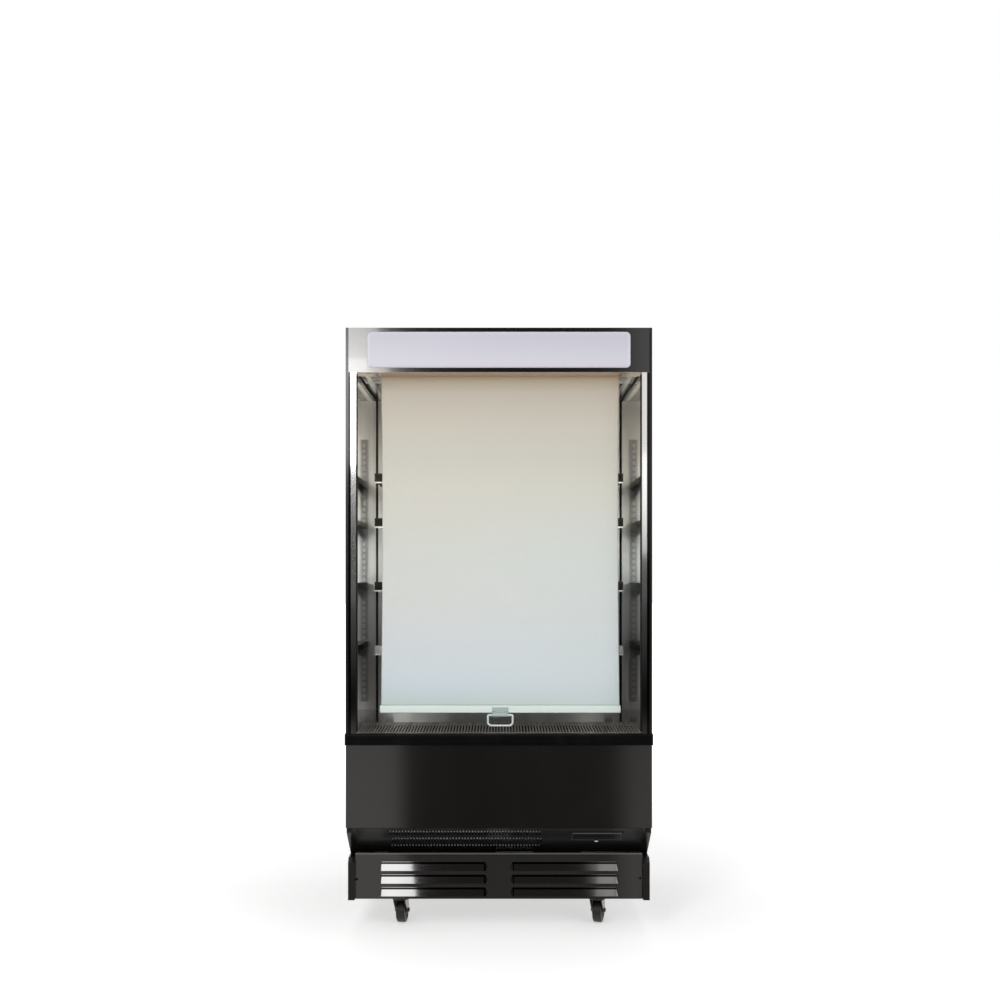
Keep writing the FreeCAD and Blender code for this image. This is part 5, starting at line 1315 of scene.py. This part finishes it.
@dataclass
class Caster:
    """A caster's wheel: a tyre and a hub, each turned as one profile.

    The tyre's lead is the cut on its inner edge, outward and along. The hub's rings are (radius, how far
    in from the wheel's face).
    """

    corner: Corner
    radius: float = 0.0375
    half_width: float = 0.014
    tyre_inner: float = 0.0255
    tyre_lead: Pair = (0.002, 0.0005)
    tread: float = 0.0055
    hub: tuple[Pair, ...] = (
        (0.0061, 0.0), (0.0125, 0.0), (0.0135, 0.001), (0.0142, 0.004), (0.0225, 0.0045), (0.0235, 0.0015),
        (0.0254, 0.001))

    def build(self) -> None:
        """Make the tyre and the hub on the wheel's own body."""
        name, angle = self.corner.value
        low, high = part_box(f"caster_wheel_{name}")
        centre = [(a + b) / 2 for a, b in zip(low, high)]
        turn = math.radians(angle)
        axis = (math.cos(turn), math.sin(turn), 0.0)
        body, slot = f"wheel_{name}", "wheel_rubber"
        tyre = piece(f"caster_tyre_{name}", *lathe(self.tyre_profile(), centre, axis, 72, True), WHEEL_RUBBER,
                     body, slot)
        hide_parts(f"caster_wheel_{name}")
        turn_outwards(tyre)
        hub = piece(f"caster_hub_{name}", *lathe(self.hub_profile(), centre, axis, 48, True), FAN_PLASTIC,
                    body, slot)
        turn_outwards(hub)

    def tyre_profile(self) -> list[Pair]:
        """Rounded tread: radius(t) = radius - tread * (1 - sin t), along(t) = half - tread * (1 - cos t)."""
        half, bend, (rise, step) = self.half_width, self.tread, self.tyre_lead
        t = np.linspace(0.0, math.pi / 2, 7)
        right = [(self.radius - bend + bend * math.sin(a), half - bend + bend * math.cos(a)) for a in t]
        profile = [(self.tyre_inner, half - step), (self.tyre_inner + rise, half), *right]
        return profile + [(r, -a) for r, a in reversed(profile)]

    def hub_profile(self) -> list[Pair]:
        """Web and hub, dished between the tyre and the axle, and the same on the other side."""
        profile = [(r, self.half_width - inset) for r, inset in self.hub]
        return profile + [(r, -a) for r, a in reversed(profile)]


# ---------------------------------------------------------------- studio


@dataclass(frozen=True)
class Softbox:
    """A soft rectangular lamp: where it hangs, how it is turned, its size, power and colour.

    Glare is whether polished faces mirror it, and washes is whether it lights dull ones.
    """

    name: str
    place: Place
    turned: Place
    size: Pair
    power: float
    colour: Colour = WHITE
    glare: bool = True
    washes: bool = True

    def hang(self) -> None:
        """Put the lamp into the scene; turned is in degrees, and 90, 0, 0 faces the fridge's front."""
        data = bpy.data.lights.new(self.name, "AREA")
        data.shape = "RECTANGLE"
        data.size, data.size_y = self.size
        data.energy = self.power
        data.color = self.colour
        lamp = bpy.data.objects.new(self.name, data)
        lamp.location = self.place
        lamp.rotation_euler = [math.radians(angle) for angle in self.turned]
        lamp.visible_camera = False
        lamp.visible_glossy = self.glare
        lamp.visible_diffuse = self.washes
        bpy.context.scene.collection.objects.link(lamp)


@dataclass
class Studio:
    """Camera, floor, world and lamps.

    Mirrored is where the eye's image lies on Y, behind the flat front of the fridge.
    """

    eye: Place = (0.0, -3.544, 1.068)
    lens: float = 39.24
    sensor: float = 36.0
    shift: Pair = (0.0011, 0.077)
    ambient: float = 0.5
    mirrored: float = 2.856
    floor_half: float = 40.0
    lit_from: Pair = (0.5, 3.4)
    lit_share: Pair = (0.45, 0.6)
    floor_shades: tuple[Colour, Colour] = ((0.8, 0.8, 0.8), (0.76, 0.76, 0.76))
    mat: Colour = (1.0, 0.95, 0.9)
    doorway: Pair = (0.127, 0.108)
    low_dark: float = 0.95
    ahead_dark: float = 0.94
    lamps: tuple[Softbox, ...] = (
        Softbox("key_low", (-1.165, -3.55, 2.095), (90.0, -14.7, 0.0), (1.1, 0.86), 24.4, WARM_WHITE),
        Softbox("key_high", (-1.469, -3.55, 3.256), (90.0, -14.7, 0.0), (1.1, 1.54), 43.6, WARM_WHITE, False),
        Softbox("fill", (2.6, -2.8, 1.7), (88.0, 0.0, 45.0), (1.4, 1.8), 25.0, (0.95, 0.98, 1.0)),
        Softbox("over", (0.0, -0.3, 4.2), (0.0, 0.0, 0.0), (2.4, 2.4), 26.0, glare=False),
        Softbox("canopy_low", (-0.89, -3.546, 2.3), (90.0, 0.0, 0.0), (0.24, 0.1), 0.6, washes=False),
        Softbox("inside", (0.0, -0.19, 1.668), (0.0, 0.0, 0.0), (0.8, 0.07), 1.2, (1.0, 0.99, 0.97), False),
        Softbox("within_left", (-0.31, -0.2, 1.27), (-90.0, 0.0, 14.0), (0.06, 0.5), 1.45, glare=False),
        Softbox("within_right", (0.31, -0.2, 1.27), (-90.0, 0.0, -14.0), (0.06, 0.5), 1.12, glare=False),
        Softbox("under", (0.0, -0.2, 0.73), (-100.0, 0.0, 0.0), (0.74, 0.05), 0.03, glare=False),
        Softbox("edge", (0.868, -3.55, 1.5), (90.0, 0.0, 0.0), (0.07, 0.6), 0.07, washes=False),
        Softbox("louvre_left", (-0.61, -3.55, 1.45), (90.0, -8.0, 0.0), (0.22, 0.7), 3.3, washes=False),
        Softbox("louvre_right", (0.64, -3.55, 1.45), (90.0, 8.0, 0.0), (0.12, 0.7), 0.22, washes=False),
    )

    def build(self) -> None:
        """Set up everything that isn't the fridge."""
        self.place_camera()
        self.lay_floor()
        self.paint_world()
        for lamp in self.lamps:
            lamp.hang()
        bpy.context.scene.view_settings.view_transform = "Standard"

    def place_camera(self) -> None:
        """A level camera in front of the fridge, with the photograph's shift."""
        data = bpy.data.cameras.new("camera")
        data.lens, data.sensor_width = self.lens, self.sensor
        data.shift_x, data.shift_y = self.shift
        camera = bpy.data.objects.new("camera", data)
        camera.location = self.eye
        camera.rotation_euler = (math.pi / 2, 0.0, 0.0)
        bpy.context.scene.collection.objects.link(camera)
        bpy.context.scene.camera = camera

    def lay_floor(self) -> None:
        """A pale floor, white to the camera with the shadow kept; a dark mat in polished faces.

        The floor is lit by the first of lit_share near the fridge, and by both together further off. The
        mat's edges spread with the distance ahead of the fridge, and side is the slope across.
        """
        half = self.floor_half
        mesh = bpy.data.meshes.new("floor")
        mesh.from_pydata([(-half, -half, 0), (half, -half, 0), (half, half, 0), (-half, half, 0)], [],
                         [(0, 1, 2, 3)])
        material = bpy.data.materials.new("pale_floor")
        material.use_nodes = True
        board = Board(material.node_tree)
        paths = board.node("ShaderNodeLightPath").outputs
        camera, glossy = Signal(board, paths["Is Camera Ray"]), Signal(board, paths["Is Glossy Ray"])
        x, y = board.axis("X"), board.axis("Y")
        away = (x * x + y * y) ** 0.5
        lift = away.ramp(*self.lit_from) * self.lit_share[1] + self.lit_share[0]
        pale = board.blend(board.noise(0.6, 2.0), *self.floor_shades)
        diffuse = board.shader("BsdfDiffuse", {"Color": pale})
        white = board.shader("Emission", {"Color": WHITE, "Strength": camera * lift})
        plain = board.shader("AddShader", {0: diffuse, 1: white})
        side = x / (self.mirrored - y)
        edge = side.ramp(-0.078, -0.1) * 0.5 + side.ramp(0.1, 0.13) * 0.34 + abs(side).ramp(0.16, 0.4) * 0.5
        edge = edge * y.ramp(-6.0, -4.0)
        behind = y.ramp(-0.6, 0.0)
        near = y.ramp(-1.5, -1.1)
        sheen = edge * (1.0 - behind) * (1.0 - near * 0.35) + behind + near * 0.12 + 0.05
        mat = board.shader("Emission", {"Color": self.mat, "Strength": sheen})
        mixed = board.shader("MixShader", {0: glossy, 1: plain, 2: mat})
        board.node("ShaderNodeOutputMaterial", None, {0: mixed})
        mesh.materials.append(material)
        floor = bpy.data.objects.new("floor", mesh)
        bpy.context.scene.collection.objects.link(floor)

    def paint_world(self) -> None:
        """White to the camera; polished faces see a bright studio with a dark doorway ahead.

        Aside and up are the slopes of a direction, and low_left and low_right darken its low parts.
        """
        world = bpy.data.worlds.new("studio")
        world.use_nodes = True
        bpy.context.scene.world = world
        board = Board(world.node_tree)
        paths = board.node("ShaderNodeLightPath").outputs
        glossy = Signal(board, paths["Is Glossy Ray"])
        seen = Signal(board, paths["Is Camera Ray"]) + Signal(board, paths["Is Transmission Ray"])
        source = board.node("ShaderNodeTexCoord").outputs["Generated"]
        way = board.node("ShaderNodeSeparateXYZ", None, {0: source})
        x, y, z = (Signal(board, way.outputs[name]) for name in ("X", "Y", "Z"))
        ahead = y.ramp(0.0, -0.35)
        reach = abs(y) + 0.02
        aside, up = x / reach, z / reach
        doorway = (abs(aside) + up.ramp(0.25, 0.5) * 0.033).ramp(*self.doorway)
        low_left = aside.ramp(0.0, -0.05) * up.ramp(0.17, 0.03) * abs(aside).ramp(1.2, 0.6)
        low_right = aside.ramp(0.0, 0.05) * up.ramp(0.09, 0.0) * abs(aside).ramp(1.2, 0.6)
        dark = 1.0 - (1.0 - doorway) * (1.0 - low_left * self.low_dark) * (1.0 - low_right * self.low_dark)
        studio = 1.0 - ahead * dark * self.ahead_dark
        plain = board.shader("Background", {"Color": WHITE, "Strength": self.ambient})
        mirror = board.shader("Background", {"Color": WARM_WHITE, "Strength": studio})
        white = board.shader("Background", {"Color": WHITE, "Strength": 1.0})
        first = board.shader("MixShader", {0: glossy, 1: plain, 2: mirror})
        last = board.shader("MixShader", {0: seen, 1: first, 2: white})
        board.node("ShaderNodeOutputWorld", None, {0: last})


def main() -> None:
    """Dress every node, then add the pieces of each sub-assembly."""
    logging.basicConfig(level=logging.INFO, format="%(name)s: %(message)s")
    Studio().build()
    for finish, nodes in NODE_FINISHES.items():
        finish.dress(*nodes)
    for assembly in (NightCurtain(), Sign(), VentBars(), LabelStrips(), Fasteners(), InnerTrim(), FlapKnob(),
                     *map(Caster, Corner)):
        assembly.build()


if __name__ == "__main__":
    main()
